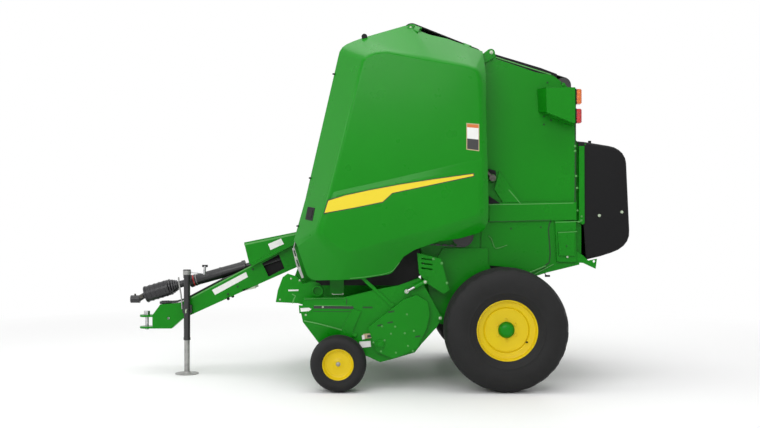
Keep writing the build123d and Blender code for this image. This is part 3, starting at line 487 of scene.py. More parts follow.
# Wheels: axle places of the left ones, with Y turned outward, then profiles of radius and outboard offset
WHEEL = (1.082, 1.057, 0.489)
GAUGE = (-0.238, 1.09, 0.222)
TREAD_HALF = (
    (0.4885, 0.0), (0.4885, 0.024), (0.477, 0.027), (0.477, 0.037), (0.488, 0.04), (0.4875, 0.068),
    (0.476, 0.071), (0.4755, 0.081), (0.4862, 0.084), (0.484, 0.106), (0.479, 0.122), (0.471, 0.137),
)
SIDEWALL = (
    (0.46, 0.15), (0.456, 0.151), (0.44, 0.161), (0.42, 0.17), (0.395, 0.176),
    (0.37, 0.1778), (0.345, 0.1765), (0.32, 0.172), (0.3, 0.1665), (0.296, 0.1675),
    (0.292, 0.164), (0.275, 0.159), (0.265, 0.155), (0.26, 0.15), (0.2398, 0.1462),
    (0.2398, 0.1365), (0.2346, 0.1365),
)
RIM_FACE = (
    (0.2395, 0.1362), (0.2395, 0.1445), (0.2385, 0.147), (0.236, 0.1478), (0.2325, 0.1465),
    (0.2305, 0.14), (0.228, 0.115), (0.224, 0.102), (0.196, 0.093), (0.186, 0.0925),
    (0.1825, 0.0905), (0.18, 0.084), (0.177, 0.0815), (0.1735, 0.084), (0.17, 0.0895),
    (0.16, 0.09), (0.12, 0.08), (0.09, 0.076), (0.0646, 0.0745), (0.0646, 0.059),
    (0.12, 0.06), (0.165, 0.075), (0.2215, 0.085), (0.2215, -0.145), (0.2395, -0.145),
    (0.2395, -0.1362), (0.234, -0.1362), (0.234, 0.1362),
)
HUB_FACE = (
    (0, 0.118), (0.018, 0.1172), (0.034, 0.114), (0.047, 0.108), (0.056, 0.099), (0.0605, 0.089),
    (0.062, 0.08), (0.064, 0.079), (0.0642, 0.06), (0.1045, 0.058), (0.1045, 0.04),
    (0.06, 0.0395), (0.06, -0.06), (0.031, -0.0605), (0.031, -0.01), (0, -0.01),
)
GAUGE_TREAD = (
    (0.2218, 0.0), (0.2218, 0.014), (0.215, 0.016), (0.215, 0.022), (0.2214, 0.024), (0.2205, 0.044),
    (0.214, 0.046), (0.2138, 0.052), (0.219, 0.054), (0.216, 0.07), (0.209, 0.086), (0.199, 0.097),
    (0.185, 0.105), (0.168, 0.1078), (0.15, 0.105), (0.14, 0.101), (0.137, 0.102),
    (0.134, 0.099), (0.1233, 0.094), (0.1233, 0.0845), (0.1181, 0.0845),
)
GAUGE_RIM = (
    (0.1229, 0.0843), (0.1229, 0.0925), (0.1205, 0.094), (0.117, 0.0925), (0.115, 0.08),
    (0.112, 0.062), (0.102, 0.053), (0.096, 0.0525), (0.093, 0.049), (0.088, 0.048),
    (0.06, 0.043), (0.042, 0.045), (0.03, 0.054), (0.02, 0.056), (0.0152, 0.056),
    (0.0152, -0.04), (0.03, -0.04), (0.03, 0.03), (0.06, 0.033), (0.095, 0.038),
    (0.112, 0.03), (0.112, -0.093), (0.1229, -0.093), (0.1229, -0.0843), (0.1178, -0.0843),
    (0.1178, 0.0843),
)
GAUGE_CAP = ((0, 0.069), (0.01, 0.068), (0.0165, 0.064), (0.0185, 0.058), (0.0185, 0.054), (0, 0.0535))
LUG_DEPTH = 0.006
STUD_RING = 0.081
STUDS = 6
VALVE_PX = (527.6, 342.4)


def both_halves(rows):
    """Repeat the rows of one half of a tyre on its other half."""
    return tuple(rows) + tuple((radius, -out) for radius, out in reversed(rows) if out)


def make_wheels():
    """Tyres with grooved treads, dished rims, hubs with domed caps, studs and valves."""
    rows = both_halves(TREAD_HALF + SIDEWALL)
    lugs = [i for i, (radius, out) in enumerate(rows) if 0.1 < abs(out) < 0.138 and radius > 0.46]
    for side, name in SIDES.items():
        centre = (WHEEL[0], side * WHEEL[1], WHEEL[2])
        body = f"main_wheel_{name}"
        tyre = turned_piece(f"tyre_{name}", rows, centre, side, 144, body, "tyre_rubber", 50, lugs, LUG_DEPTH)
        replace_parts(tyre, f"main_tyre_{name}")
        rim = turned_piece(f"rim_{name}", RIM_FACE, centre, side, 96, body, "yellow_paint", 40)
        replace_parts(rim, f"main_rim_{name}")
        hub = turned_piece(f"hub_{name}", HUB_FACE, centre, side, 48, body, "green_paint", 40)
        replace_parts(hub, f"main_hub_{name}")
        valve_x, valve_z = at_pixel(*VALVE_PX, WHEEL[1] + 0.09)
        start = Vector((valve_x, side * (WHEEL[1] + 0.083), valve_z))
        end = start + Vector((-0.012, side * 0.03, 0.004))
        cones(f"valve_{name}", body, "black_plastic", (start, end, 0.008, 0.005, 12),
              (end, end + (end - start) * 0.35, 0.0065, 0.006, 10))

        centre = (GAUGE[0], side * GAUGE[1], GAUGE[2])
        body = f"gauge_wheel_{name}"
        rows_small = both_halves(GAUGE_TREAD)
        tyre = turned_piece(f"small_tyre_{name}", rows_small, centre, side, 96, body, "tyre_rubber", 50)
        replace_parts(tyre, f"gauge_tyre_{name}")
        rim = turned_piece(f"small_rim_{name}", GAUGE_RIM, centre, side, 64, body, "yellow_paint", 40)
        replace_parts(rim, f"gauge_rim_{name}")
        turned_piece(f"small_cap_{name}", GAUGE_CAP, centre, side, 24, body, "galvanised", 40)
    angles = [math.radians(92 + 360 * stud_number / STUDS) for stud_number in range(STUDS)]
    spots = [(WHEEL[0] + STUD_RING * math.cos(a), WHEEL[2] + STUD_RING * math.sin(a)) for a in angles]
    side_bolts("wheel_studs", "main_wheel", "yellow_paint", WHEEL[1] + 0.0755, 0.0105, spots)


# Side shields: a moulded skin with rounded corners, cut open below and behind.
# Each row is a corner of the face and its mate on the broad inner outline, in pixels.
SHIELD_INNER = 0.83
SHIELD_SHEET = 0.008
SHIELD_ROWS_PX = (
    (363, 61, 338.4, 56), (365.6, 58, 339.6, 51.6), (369.6, 55, 342.4, 47.2),
    (375, 52.8, 346.6, 44.2), (381, 51.8, 353, 41.4), (388, 51.7, 364, 37.4),
    (420, 57.6, 404.5, 25.8), (428, 59, 409.5, 25.4), (436, 60.5, 415.5, 29.6),
    (446, 62.3, 430, 34.8), (458, 64.4, 447.5, 38.8), (468.5, 66.3, 466, 45.4),
    (474.5, 68.4, 482, 51.2), (478, 72, 493, 56.5), (479.8, 77, 505, 66),
    (480.3, 84, 514, 84), (483, 154, 520, 154), (483.9, 205, 523, 211),
    (482.8, 214, 518, 232), (478.5, 219.4, 511, 248), (470.5, 222.6, 500, 262),
    (425.5, 235.6, 440, 292), (381.5, 247.4, 381, 317.1), (358.6, 254.7, 352, 323),
    (350, 256.2, 338, 325), (343.5, 255.4, 330, 320), (335.4, 251.2, 317, 303),
    (326, 244.2, 300, 275), (320.4, 238.2, 291.5, 260), (318.2, 232, 289.8, 252),
    (318.2, 226.5, 293.4, 242.1), (328.5, 195.2, 305.2, 199.9), (344.6, 133, 321.8, 128),
)
# The panel's outline: its two top corners, then the face's rows of this range
PANEL_TOP = [(-0.279, 1.579), (0.897, 1.846)]
PANEL_ROWS = slice(17, 31)
# How the skin rounds over into the face: share of the way out, then inset of the face's outline
SKIN_TURN = (0.0, 0.9, 0.955)
FACE_TURN = ((1.1165, 0.004), (1.1195, 0.011), (1.12, 0.02))
PANEL_TURN = ((1.1195, 0.006), (1.122, 0.014), (1.127, 0.026), (1.1312, 0.038), (1.132, 0.046))
# How much the shoulder above the stripe widens toward the rear
SHOULDER_DROP = 0.03
SHIELD_CUT = (
    (-0.8, 3.1), (0.905, 3.1), (0.925, 2.692), (0.93, 2.137), (0.947, 1.477), (0.948, 1.37),
    (0.94, 1.318), (0.914, 1.274), (0.871, 1.247), (0.719, 1.204), (0.561, 1.183), (0.363, 1.115),
    (0.277, 1.06), (0.209, 0.958), (0.19, 0.934), (0.168, 0.921), (0.14, 0.914), (-0.063, 0.881),
    (-0.435, 0.864), (-0.468, 0.874), (-0.499, 0.9), (-0.578, 1.147), (-0.8, 1.4),
)
HINGE_START = Vector((0.31, -0.815, 2.95))
HINGE_RUN = Vector((0.599, 0.0, -0.217)).normalized()
HINGE_STATIONS = (0.09, 0.52)
KNUCKLE_RADIUS = 0.01
KNUCKLE_LENGTH = 0.044
STRAP = (
    (-0.0085, 0.005), (-0.015, 0.002), (-0.057, -0.038), (-0.057, -0.05), (-0.015, -0.014),
    (-0.0085, -0.005),
)
LATCH_PX = ((307.8, 206.6), (315.2, 207.8), (312.6, 221.2), (305.2, 219.6))
LOWER_LIP_PX = (
    (311.5, 281.2), (316, 281.2), (330, 280.3), (350, 278.4), (370, 276.6), (386, 275), (391, 272.6),
    (396, 267), (399.5, 262.4),
)
STRIPE_PX = (
    (328.4, 200.7), (345, 195.6), (370, 190.2), (400, 184.6), (435, 179.2), (473.4, 173.9),
    (473.4, 175.8), (430, 185), (392.3, 192.9), (382.7, 201.7), (355, 207.4), (324.5, 212.9),
)
STRIPE_EDGE_PX = (
    (327.6, 199.9), (345, 194.8), (370, 189.4), (400, 183.8), (435, 178.4), (474.3, 172.9),
    (474.3, 176.6), (430, 185.9), (392.7, 193.7), (383.1, 202.6), (355, 208.3), (323.3, 214),
)
LUG = at_pixel(410.6, 27.4, 0.845)
BUMPER = at_pixel(364.4, 36, 0.838)
KNOBS_PX = ((333.4, 74), (309.8, 178), (297.4, 226))
STAY_SLOTS_PX = (
    ((293.4, 250.6), (294.8, 250.2), (296.4, 255.8), (295, 256.2)),
    ((296, 260), (297.4, 259.6), (299.8, 266.4), (298.6, 267)),
)


def face_left(bm):
    """Turn an open skin's faces so that they look away from the machine's left side."""
    bmesh.ops.recalc_face_normals(bm, faces=bm.faces)
    if sum(f.normal.y * f.calc_area() for f in bm.faces) > 0:
        bmesh.ops.reverse_faces(bm, faces=bm.faces)


def skirt(bm, rings):
    """Join rings of equal count with quads."""
    for first, second in zip(rings, rings[1:]):
        for index in range(len(first)):
            bm.faces.new((first[index - 1], first[index], second[index], second[index - 1]))


def form_of(name, bm, finish):
    """A linked object of a closed form, for a cut."""
    bmesh.ops.recalc_face_normals(bm, faces=bm.faces)
    mesh = bpy.data.meshes.new(name)
    bm.to_mesh(mesh)
    bm.free()
    mesh.materials.append(FINISH[finish])
    form = bpy.data.objects.new(name, mesh)
    bpy.context.scene.collection.objects.link(form)
    return form


def shield_solid():
    """The closed form of the left shield, without its panel."""
    face = outline_px([row[:2] for row in SHIELD_ROWS_PX], SHIELD_FACE)
    inner = outline_px([row[2:] for row in SHIELD_ROWS_PX], SHIELD_INNER)
    bm = bmesh.new()
    rings = []
    for share in SKIN_TURN:
        y = -(SHIELD_INNER + share * (SHIELD_FACE - SHIELD_INNER))
        spots = [(a + share * (c - a), y, b + share * (d - b)) for (a, b), (c, d) in zip(inner, face)]
        rings.append([bm.verts.new(spot) for spot in spots])
    for out, depth in FACE_TURN:
        rings.append([bm.verts.new((x, -out, z)) for x, z in inset(face, depth)])
    skirt(bm, rings)
    bm.faces.new(rings[0])
    bm.faces.new(rings[-1])
    return form_of("shield_form", bm, "green_paint")


def shield_skin():
    """The skin of the left shield after its cut, as a mesh with no thickness."""
    form = shield_solid()
    bm = bmesh.new()
    prism(bm, SHIELD_CUT, -(SHIELD_FACE + 0.05), -(SHIELD_INNER - 0.05))
    cut = form_of("shield_cut", bm, "black_paint")
    keep = form.modifiers.new("cut", "BOOLEAN")
    keep.operation = "INTERSECT"
    keep.solver = "EXACT"
    keep.material_mode = "TRANSFER"
    keep.object = cut
    depsgraph = bpy.context.evaluated_depsgraph_get()
    made = bpy.data.meshes.new_from_object(form.evaluated_get(depsgraph))
    skin = bmesh.new()
    skin.from_mesh(made)
    inner_y = -SHIELD_INNER - 1e-4
    spare = [
        f for f in skin.faces
        if made.materials[f.material_index] == FINISH["black_paint"] or f.calc_center_median().y > inner_y
    ]
    bmesh.ops.delete(skin, geom=spare, context="FACES")
    for obj in (form, cut):
        bpy.data.objects.remove(obj)
    return skin


def thicken(bm, depth):
    """Give an open skin its sheet thickness, inward."""
    rim = [e for e in bm.edges if e.is_boundary]
    back = bmesh.ops.duplicate(bm, geom=bm.verts[:] + bm.edges[:] + bm.faces[:])
    mate = back["vert_map"]
    for vert in [v for v in back["geom"] if isinstance(v, bmesh.types.BMVert)]:
        vert.co -= vert.normal * depth
    bmesh.ops.reverse_faces(bm, faces=[f for f in back["geom"] if isinstance(f, bmesh.types.BMFace)])
    for edge in rim:
        a, b = edge.verts
        bm.faces.new((a, b, mate[b], mate[a]))


def mirrored(bm, side):
    """A copy of the left side's mesh for a side."""
    copy = bm.copy()
    if side == RIGHT:
        for vert in copy.verts:
            vert.co.y = -vert.co.y
        bmesh.ops.reverse_faces(copy, faces=copy.faces)
    return copy


def face_panel():
    """The raised lower panel of the left shield's face, its edges rolled over."""
    lower = outline_px([row[:2] for row in SHIELD_ROWS_PX[PANEL_ROWS]], SHIELD_FACE)
    bm = bmesh.new()
    first = PANEL_TURN[0][1]
    reach = PANEL_TURN[-1][1] - first
    rings = []
    for out, depth in PANEL_TURN:
        ring = inset(PANEL_TOP + lower, depth)
        x, z = ring[1]
        ring[1] = (x, z - SHOULDER_DROP * (depth - first) / reach)
        rings.append([bm.verts.new((x, -out, z)) for x, z in ring])
    skirt(bm, rings)
    bm.faces.new(rings[-1])
    return bm


def close_between(bm, first, second):
    """Close a form between its two end outlines of equal count."""
    bm.faces.new(first)
    bm.faces.new(second[::-1])
    for index in range(len(first)):
        bm.faces.new((first[index], first[index - 1], second[index - 1], second[index]))


def hinge_straps():
    """The left shield's knuckles and the straps that hold them to its top."""
    bm = bmesh.new()
    up = Vector((0, 1, 0)).cross(HINGE_RUN)
    if up.z < 0:
        up = -up
    for station in HINGE_STATIONS:
        near = HINGE_START + HINGE_RUN * (station - KNUCKLE_LENGTH / 2)
        far = HINGE_START + HINGE_RUN * (station + KNUCKLE_LENGTH / 2)
        sleeve(bm, near, far, 0.0062, KNUCKLE_RADIUS, 20)
        ends = [[bm.verts.new(end + Vector((0, a, 0)) + up * b) for a, b in STRAP] for end in (near, far)]
        close_between(bm, *ends)
    return bm


def shield_latch(skin):
    """The black latch set in the left shield's front facet."""
    bm = bmesh.new()
    hits = [hit_on(skin, px, py) for px, py in LATCH_PX]
    middle = sum((place for place, _ in hits), Vector()) / len(hits)
    out = sum((normal for _, normal in hits), Vector()).normalized()
    for shrink, low, high in ((1.0, -0.002, 0.003), (0.62, 0.003, 0.006)):
        base = [bm.verts.new(middle + (place - middle) * shrink + out * low) for place, _ in hits]
        top = [bm.verts.new(middle + (place - middle) * shrink * 0.95 + out * high) for place, _ in hits]
        close_between(bm, base, top)
    return bm


def make_shields():
    """The two side shields with their panels, latches, lips and hinge straps."""
    skin = shield_skin()
    tree = BVHTree.FromBMesh(skin)
    hits = [hit_on(tree, px, py) for px, py in LOWER_LIP_PX]
    lip = [place + normal * 0.001 for place, normal in hits if place]
    latch = shield_latch(tree)
    face_left(skin)
    thicken(skin, SHIELD_SHEET)
    panel = face_panel()
    straps = hinge_straps()
    for side, name in SIDES.items():
        body = f"shield_{name}"
        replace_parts(piece(f"side_shield_{name}", mirrored(skin, side), body, "green_paint", 24), body)
        piece(f"shield_panel_{name}", mirrored(panel, side), body, "green_paint", 40)
        piece(f"shield_straps_{name}", mirrored(straps, side), body, "green_paint")
        piece(f"shield_latch_{name}", mirrored(latch, side), body, "black_plastic")
        # The lower lip is a thin rod in light green, a painted highlight along the shield's edge
        spots = [(spot.x, -side * spot.y, spot.z) for spot in lip]
        rod(f"shield_lip_{name}", spots, 0.0028, body, "green_edge")
    for bm in (skin, panel, straps, latch):
        bm.free()


def make_shield_trim():
    """Lugs, bumpers, knobs, and the rod and slots of the stay along the lower front edge of the shields."""
    for side, name in SIDES.items():
        body = f"shield_{name}"
        bm = bmesh.new()
        sleeve(bm, (LUG[0], side * 0.842, LUG[1]), (LUG[0], side * 0.85, LUG[1]), 0.01, 0.026)
        piece(f"top_lug_{name}", bm, body, "green_paint")
        x, z = BUMPER
        bumper = stud(side, (x, z - 0.004), 0.834, 0.846, 0.024, 0.022, 24)
        cones(f"shield_bumper_{name}", body, "black_plastic", bumper)
        y = side * 0.838
        places = outline_px(KNOBS_PX, 0.838)
        knobs = [((x + 0.012, y, z), (x - 0.008, y, z), 0.008, 0.006, 12) for x, z in places]
        cones(f"shield_knobs_{name}", body, "black_plastic", *knobs)
        low, high = at_pixel(293.4, 249.4, 0.85), at_pixel(297, 234, 0.838)
        spots = [(low[0], side * 0.85, low[1]), (high[0], y, high[1])]
        rod(f"shield_stay_rod_{name}", spots, 0.004, body, "galvanised")
        slots = [(outline_px(slot, STAY_OUT), 0.8525, 0.8536) for slot in STAY_SLOTS_PX]
        prisms(f"shield_stay_slots_{name}", side, body, "seam_shadow", *slots)


# Gate: holes, each a flat disc of painted shade, and the parts at the ram's lug. A hole is a pixel and a
# radius.
WALL_HOLES = {
    "gate": ((510.9, 228.6, 0.008), (540.8, 227.2, 0.008)),
    "chassis": ((471.6, 267, 0.014),),
}
RAM_STOP_PX = ((488.6, 169), (495.6, 170.6), (496, 181), (492, 183), (488.2, 178))
RAM_POCKET_SHADE_PX = ((488.6, 195.6), (500.4, 203.4), (488.6, 204))
FLANGE_PX = ((528.6, 272.8), (545.6, 265.8))
FLANGE_LIP_PX = ((534, 274.6), (553.6, 264.2))
GATE_LINK_PX = (
    (488.6, 235.7), (491.3, 238.4), (494.4, 247.3), (496.2, 248.7), (499.3, 247.8), (507.3, 245.1),
)
GATE_SEAL = ((0.89, 0.99), (0.935, 0.99), (0.935, 2.64), (0.89, 2.64))
CORNER_ROLL = (1.586, 2.452)


def make_gate_trim():
    """What stands on the gate's walls, and the holes in the walls as flat discs of painted shade."""
    side_plate("gate_seal", "gate", "green_paint", 0.7868, 0.7915, GATE_SEAL)
    for side, name in SIDES.items():
        for body, holes in WALL_HOLES.items():
            near, far = WALL_OUT - 0.001, WALL_OUT + 0.0008
            discs = [
                stud(side, at_pixel(px, py, WALL_OUT), near, far, radius, radius, 24)
                for px, py, radius in holes
            ]
            cones(f"{body}_holes_{name}", body, "seam_shadow", *discs)
        # dark plastic stop, and a thin black sheet in the pocket by the ram's lug that is painted shade
        prisms(f"gate_stop_{name}", side, "gate", "black_plastic",
               (outline_px(RAM_STOP_PX, 0.826), 0.824, 0.842),
               (outline_px(RAM_POCKET_SHADE_PX, 0.826), 0.8235, 0.825))
        # bottom flange in light green, a painted highlight, and the rubber foot under it
        prisms(f"gate_flange_{name}", side, "gate", "green_edge",
               (ribbon(outline_px(FLANGE_PX, 0.806), 0.008), 0.8, 0.822),
               (ribbon(outline_px(FLANGE_LIP_PX, 0.806), 0.006), 0.8, 0.808))
        x, z = at_pixel(547.6, 276, 0.79)
        y = side * 0.782
        cones(f"gate_foot_{name}", "gate", "black_plastic",
              ((x - 0.026, y, z + 0.03), (x - 0.012, y, z + 0.004), 0.004, 0.004, 12),
              ((x - 0.02, y, z), (x + 0.02, y, z), 0.008, 0.008, 16))
        # the link rod takes the light green, a painted highlight
        spots = [(x, side * 0.806, z) for x, z in outline_px(GATE_LINK_PX, 0.806)]
        rod(f"gate_link_{name}", spots, 0.0035, "gate", "green_edge", order=2)
        cones(f"corner_roll_end_{name}", "gate", "black_paint",
              stud(side, CORNER_ROLL, 0.7862, 0.7885, 0.0595, 0.0595, 48))


# Lamp wings, lamps and net cover
WING_FRONT = 0.801
WING_FACE_PX = ((546, 87.2), (546.9, 112.7), (571.4, 122.5), (575.4, 123.4), (575.4, 87.2))
WING_ROOT = ((1.371, 2.4146), (1.383, 2.2326), (1.618, 2.13), (1.6514, 2.1225), (1.6514, 2.4118))
WING_SHEET = 0.004
# Each kind of lamp with its lowest and highest Z, then the span in Y, and X of bezel, glass and front
LAMPS = (("amber", 2.2765, 2.402), ("red", 2.1235, 2.244))
LAMP_SPAN = (0.868, 0.976)
LAMP_X = (1.6514, 1.662, 1.7035)
REAR_RIBS = 7
SIDE_RIBS = 3


def make_wings():
    """The bent sheet wings that carry the rear lamps."""
    bm = bmesh.new()
    outer = [bm.verts.new((x, -WING_OUT, z)) for x, z in outline_px(WING_FACE_PX, WING_OUT)]
    root = [bm.verts.new((x, -WING_FRONT, z)) for x, z in WING_ROOT]
    skirt(bm, [root, outer])
    bm.faces.new(outer)
    face_left(bm)
    thicken(bm, WING_SHEET)
    folds = [e for e in bm.edges if e.calc_face_angle(0) > 0.5]
    bmesh.ops.bevel(bm, geom=folds, offset=0.0018, segments=2, affect="EDGES")
    for side, name in SIDES.items():
        wing = piece(f"wing_{name}", mirrored(bm, side), "gate", "green_paint", 30)
        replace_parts(wing, f"lamp_wing_{name}")
    bm.free()


def make_lamps():
    """Lenses with their dark bezels and moulded ribs, both sides in one lens piece."""
    inner_x, glass_x, front_x = LAMP_X
    for kind, low, high in LAMPS:
        lens = bmesh.new()
        bezel = bmesh.new()
        ribs = bmesh.new()
        for side in SIDES:
            near, far = sorted((side * LAMP_SPAN[0], side * LAMP_SPAN[1]))
            box(lens, (glass_x - 0.002, near + 0.003, low + 0.003), (front_x, far - 0.003, high - 0.003))
            box(bezel, (inner_x, near, low), (glass_x, far, high))
            for rib in range(REAR_RIBS):
                z = low + 0.014 + rib * (high - low - 0.028) / (REAR_RIBS - 1)
                low_corner = (front_x - 0.001, near + 0.012, z - 0.002)
                box(ribs, low_corner, (front_x + 0.0018, far - 0.012, z + 0.002))
            for rib in range(SIDE_RIBS):
                x = glass_x + 0.01 + rib * 0.011
                left, right = sorted((side * (LAMP_SPAN[1] - 0.004), side * (LAMP_SPAN[1] - 0.0015)))
                box(ribs, (x - 0.001, left, low + 0.01), (x + 0.001, right, high - 0.01))
        bmesh.ops.bevel(lens, geom=lens.edges[:], offset=0.006, segments=4, affect="EDGES")
        bmesh.ops.bevel(bezel, geom=bezel.edges[:], offset=0.002, segments=2, affect="EDGES")
        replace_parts(piece(f"lens_{kind}", lens, "gate", f"{kind}_lens"), f"lamps_{kind}")
        piece(f"lamp_bezels_{kind}", bezel, "gate", "black_plastic")
        piece(f"lamp_ribs_{kind}", ribs, "gate", f"{kind}_lens")


NET_PX = (
    (577, 141), (584, 141.6), (598, 143.8), (609, 145.6), (614.6, 147), (619.4, 149.6),
    (623.2, 153.2), (625.8, 157.8), (626.9, 163), (628.6, 200), (630, 230), (629.8, 236),
    (627.8, 241.4), (624.2, 246), (619, 249.8), (612, 252.8), (600.8, 256.4), (584.8, 260.2),
)
NET_TURN = ((0.786, 0.034), (0.7845, 0.02), (0.78, 0.01), (0.772, 0.003), (0.76, 0.0))
NET_SHEET = 0.005
NET_RIB_Z = (1.36, 1.53, 1.7)
NET_STOP_X = at_pixel(589.6, 142.2, 0.74)[0]
HANDLE = ((2.13, -0.11, 1.29), (2.141, -0.09, 1.29), (2.141, 0.09, 1.29), (2.13, 0.11, 1.29))


def make_net_cover():
    """The moulded cover over the net roll, open toward the gate."""
    outline = outline_px(NET_PX, NET_OUT)
    bm = bmesh.new()
    rings = []
    for side in SIDES:
        for out, depth in NET_TURN if side == LEFT else NET_TURN[::-1]:
            rings.append([bm.verts.new((x, side * out, z)) for x, z in inset(outline, depth)])
    skirt(bm, rings)
    bm.faces.new(rings[0])
    bm.faces.new(rings[-1])
    bmesh.ops.recalc_face_normals(bm, faces=bm.faces)
    front = [f for f in bm.faces if f.normal.x < -0.5]
    bmesh.ops.delete(bm, geom=front, context="FACES")
    thicken(bm, NET_SHEET)
    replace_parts(piece("net_hood", bm, "net_cover", "black_plastic", 40), "net_cover")


def make_net_trim():
    """The net cover's pressed ribs, handle and stops."""
    for index, z in enumerate(NET_RIB_Z):
        x = 2.107 + (1.814 - z) * 0.0455
        bm = bmesh.new()
        box(bm, (x - 0.004, -0.7, z - 0.022), (x + 0.0045, 0.7, z + 0.022))
        bmesh.ops.bevel(bm, geom=bm.edges[:], offset=0.0035, segments=2, affect="EDGES")
        piece(f"net_rib_{index}", bm, "net_cover", "black_plastic")
    posts = [((2.118, y, 1.29), (2.14, y, 1.29), 0.008, 0.008, 12) for y in (-0.09, 0.09)]
    cones("net_handle_posts", "net_cover", "black_paint", *posts)
    rod("net_handle", HANDLE, 0.007, "net_cover", "black_paint")
    bm = bmesh.new()
    for y in (-0.74, 0.74):
        box(bm, (NET_STOP_X - 0.012, y - 0.005, 1.974), (NET_STOP_X + 0.012, y + 0.005, 2.0))
    piece("net_stops", bm, "net_cover", "black_plastic")


# Front sheet between the shields: its bolts and pressed ribs, laid on the solid
FRONT_BOLT_Y = (-0.74, 0.74)
FRONT_BOLT_Z = (1.35, 1.65, 1.95, 2.25, 2.55)
FRONT_RIB_Z = (1.5, 1.9, 2.3)
# Half length, half height and relief of a rib
FRONT_RIB = (0.62, 0.03, 0.005)


def make_front_sheet_trim():
    """Bolts down both edges of the front sheet and three shallow pressed ribs."""
    node_mesh = NODES["front_frame"]
    points = [node_mesh.matrix_world @ vert.co for vert in node_mesh.data.vertices]
    tree = BVHTree.FromPolygons(points, [poly.vertices[:] for poly in node_mesh.data.polygons])

    def on_sheet(y, z):
        place, normal, _, _ = tree.ray_cast(Vector((-3.0, y, z)), Vector((1, 0, 0)))
        if normal and normal.x > 0:
            normal = -normal
        return place, normal

    for index, y in enumerate(FRONT_BOLT_Y):
        bm = bmesh.new()
        for z in FRONT_BOLT_Z:
            place, normal = on_sheet(y, z)
            if place:
                add_bolt(bm, place, normal, 0.01)
        # The bolt heads take the light green, a painted highlight
        piece(f"front_sheet_bolts_{index}", bm, "chassis", "green_edge")
    half, tall, proud = FRONT_RIB
    for index, z in enumerate(FRONT_RIB_Z):
        bm = bmesh.new()
        rings = []
        for height, out in ((-tall, 0.0), (-tall * 0.6, proud), (tall * 0.6, proud), (tall, 0.0)):
            ring = []
            for y in (-half, -half + 0.03, half - 0.03, half):
                place, normal = on_sheet(y, z + height)
                lift = out if abs(y) < half - 0.01 else 0.0
                ring.append(bm.verts.new(place + normal * (lift + 0.0004)))
            rings.append(ring)
        for first, second in zip(rings, rings[1:]):
            for column in range(3):
                bm.faces.new((first[column], first[column + 1], second[column + 1], second[column]))
        piece(f"front_sheet_rib_{index}", bm, "chassis", "green_paint", 50)


# Drawbar, driveline and jack
LINE_SLOPE = 0.2764
# X, radius and length of each rib along the driveline, then share of the way and radius on its bell
LINE_RIBS = (
    (-1.6, 0.056, 0.03), (-1.56, 0.053, 0.016), (-1.33, 0.053, 0.014), (-1.13, 0.057, 0.028),
    (-1.78, 0.072, 0.012), (-1.76, 0.062, 0.014), (-1.742, 0.054, 0.014), (-1.725, 0.046, 0.014),
)
BELL_RIBS = ((0.02, 0.0745), (0.22, 0.0735), (0.42, 0.0735), (0.62, 0.073), (0.82, 0.0725))
# The guard tube's plain bands: colour, pixels along the tube and radius
GUARD_BANDS = (("white", 191.2, 197, 0.0497), ("red", 191.4, 195.2, 0.0501))
JACK_X = -1.6
JACK_Y = -0.171
JACK_RINGS = ((0.296, 0.318, 0.0305), (0.84, 0.866, 0.0325), (0.905, 0.9125, 0.03))
JACK_PIN = (
    (JACK_X, -0.11, 0.566), (JACK_X, -0.214, 0.566), (JACK_X, -0.224, 0.56), (JACK_X, -0.224, 0.536),
)
BAR_STAY_PX = ((178.6, 277.2), (179, 284), (181.6, 297), (182.2, 309))


def line_z(x):
    """Height of the driveline's centre at a given X."""
    return 0.939 + (x + 1.087) * LINE_SLOPE


def make_line_trim():
    """Ribs of the driveline's guard and bell, the bands on its tube and the yoke's joint."""
    direction = Vector((1, 0, LINE_SLOPE)).normalized()
    ribs = []
    for x, radius, length in LINE_RIBS:
        start = Vector((x, 0, line_z(x)))
        ribs.append((start, start + direction * length, radius, radius * 0.97, 40))
    bell = Vector((-2.0, 0, 0.68))
    bell_end = Vector((-1.79, 0, line_z(-1.79)))
    for share, radius in BELL_RIBS:
        start = bell.lerp(bell_end, share)
        ribs.append((start, start + (bell_end - bell).normalized() * 0.012, radius, radius, 40))
    cones("driveline_ribs", "chassis", "guard_plastic", *ribs)
    for colour, start_px, end_px, radius in GUARD_BANDS:
        x0, x1 = at_pixel(start_px, 0, 0)[0], at_pixel(end_px, 0, 0)[0]
        tube = (x0, 0, line_z(x0)), (x1, 0, line_z(x1)), radius, radius, 40
        cones(f"guard_band_{colour}", "chassis", f"decal_{colour}", tube)
    ears = [stud(side, (-2.032, 0.668), 0.024, 0.04, 0.018, 0.017) for side in SIDES]
    push_pin = (-2.094, 0, 0.673), (-2.094, 0, 0.688), 0.009, 0.008, 12
    cones("yoke_joint", "chassis", "chain_steel", *ears, push_pin)


def upright(x, y, low, high, first, second, segments):
    """What cone() takes for an upright round bar."""
    return (x, y, low), (x, y, high), first, second, segments


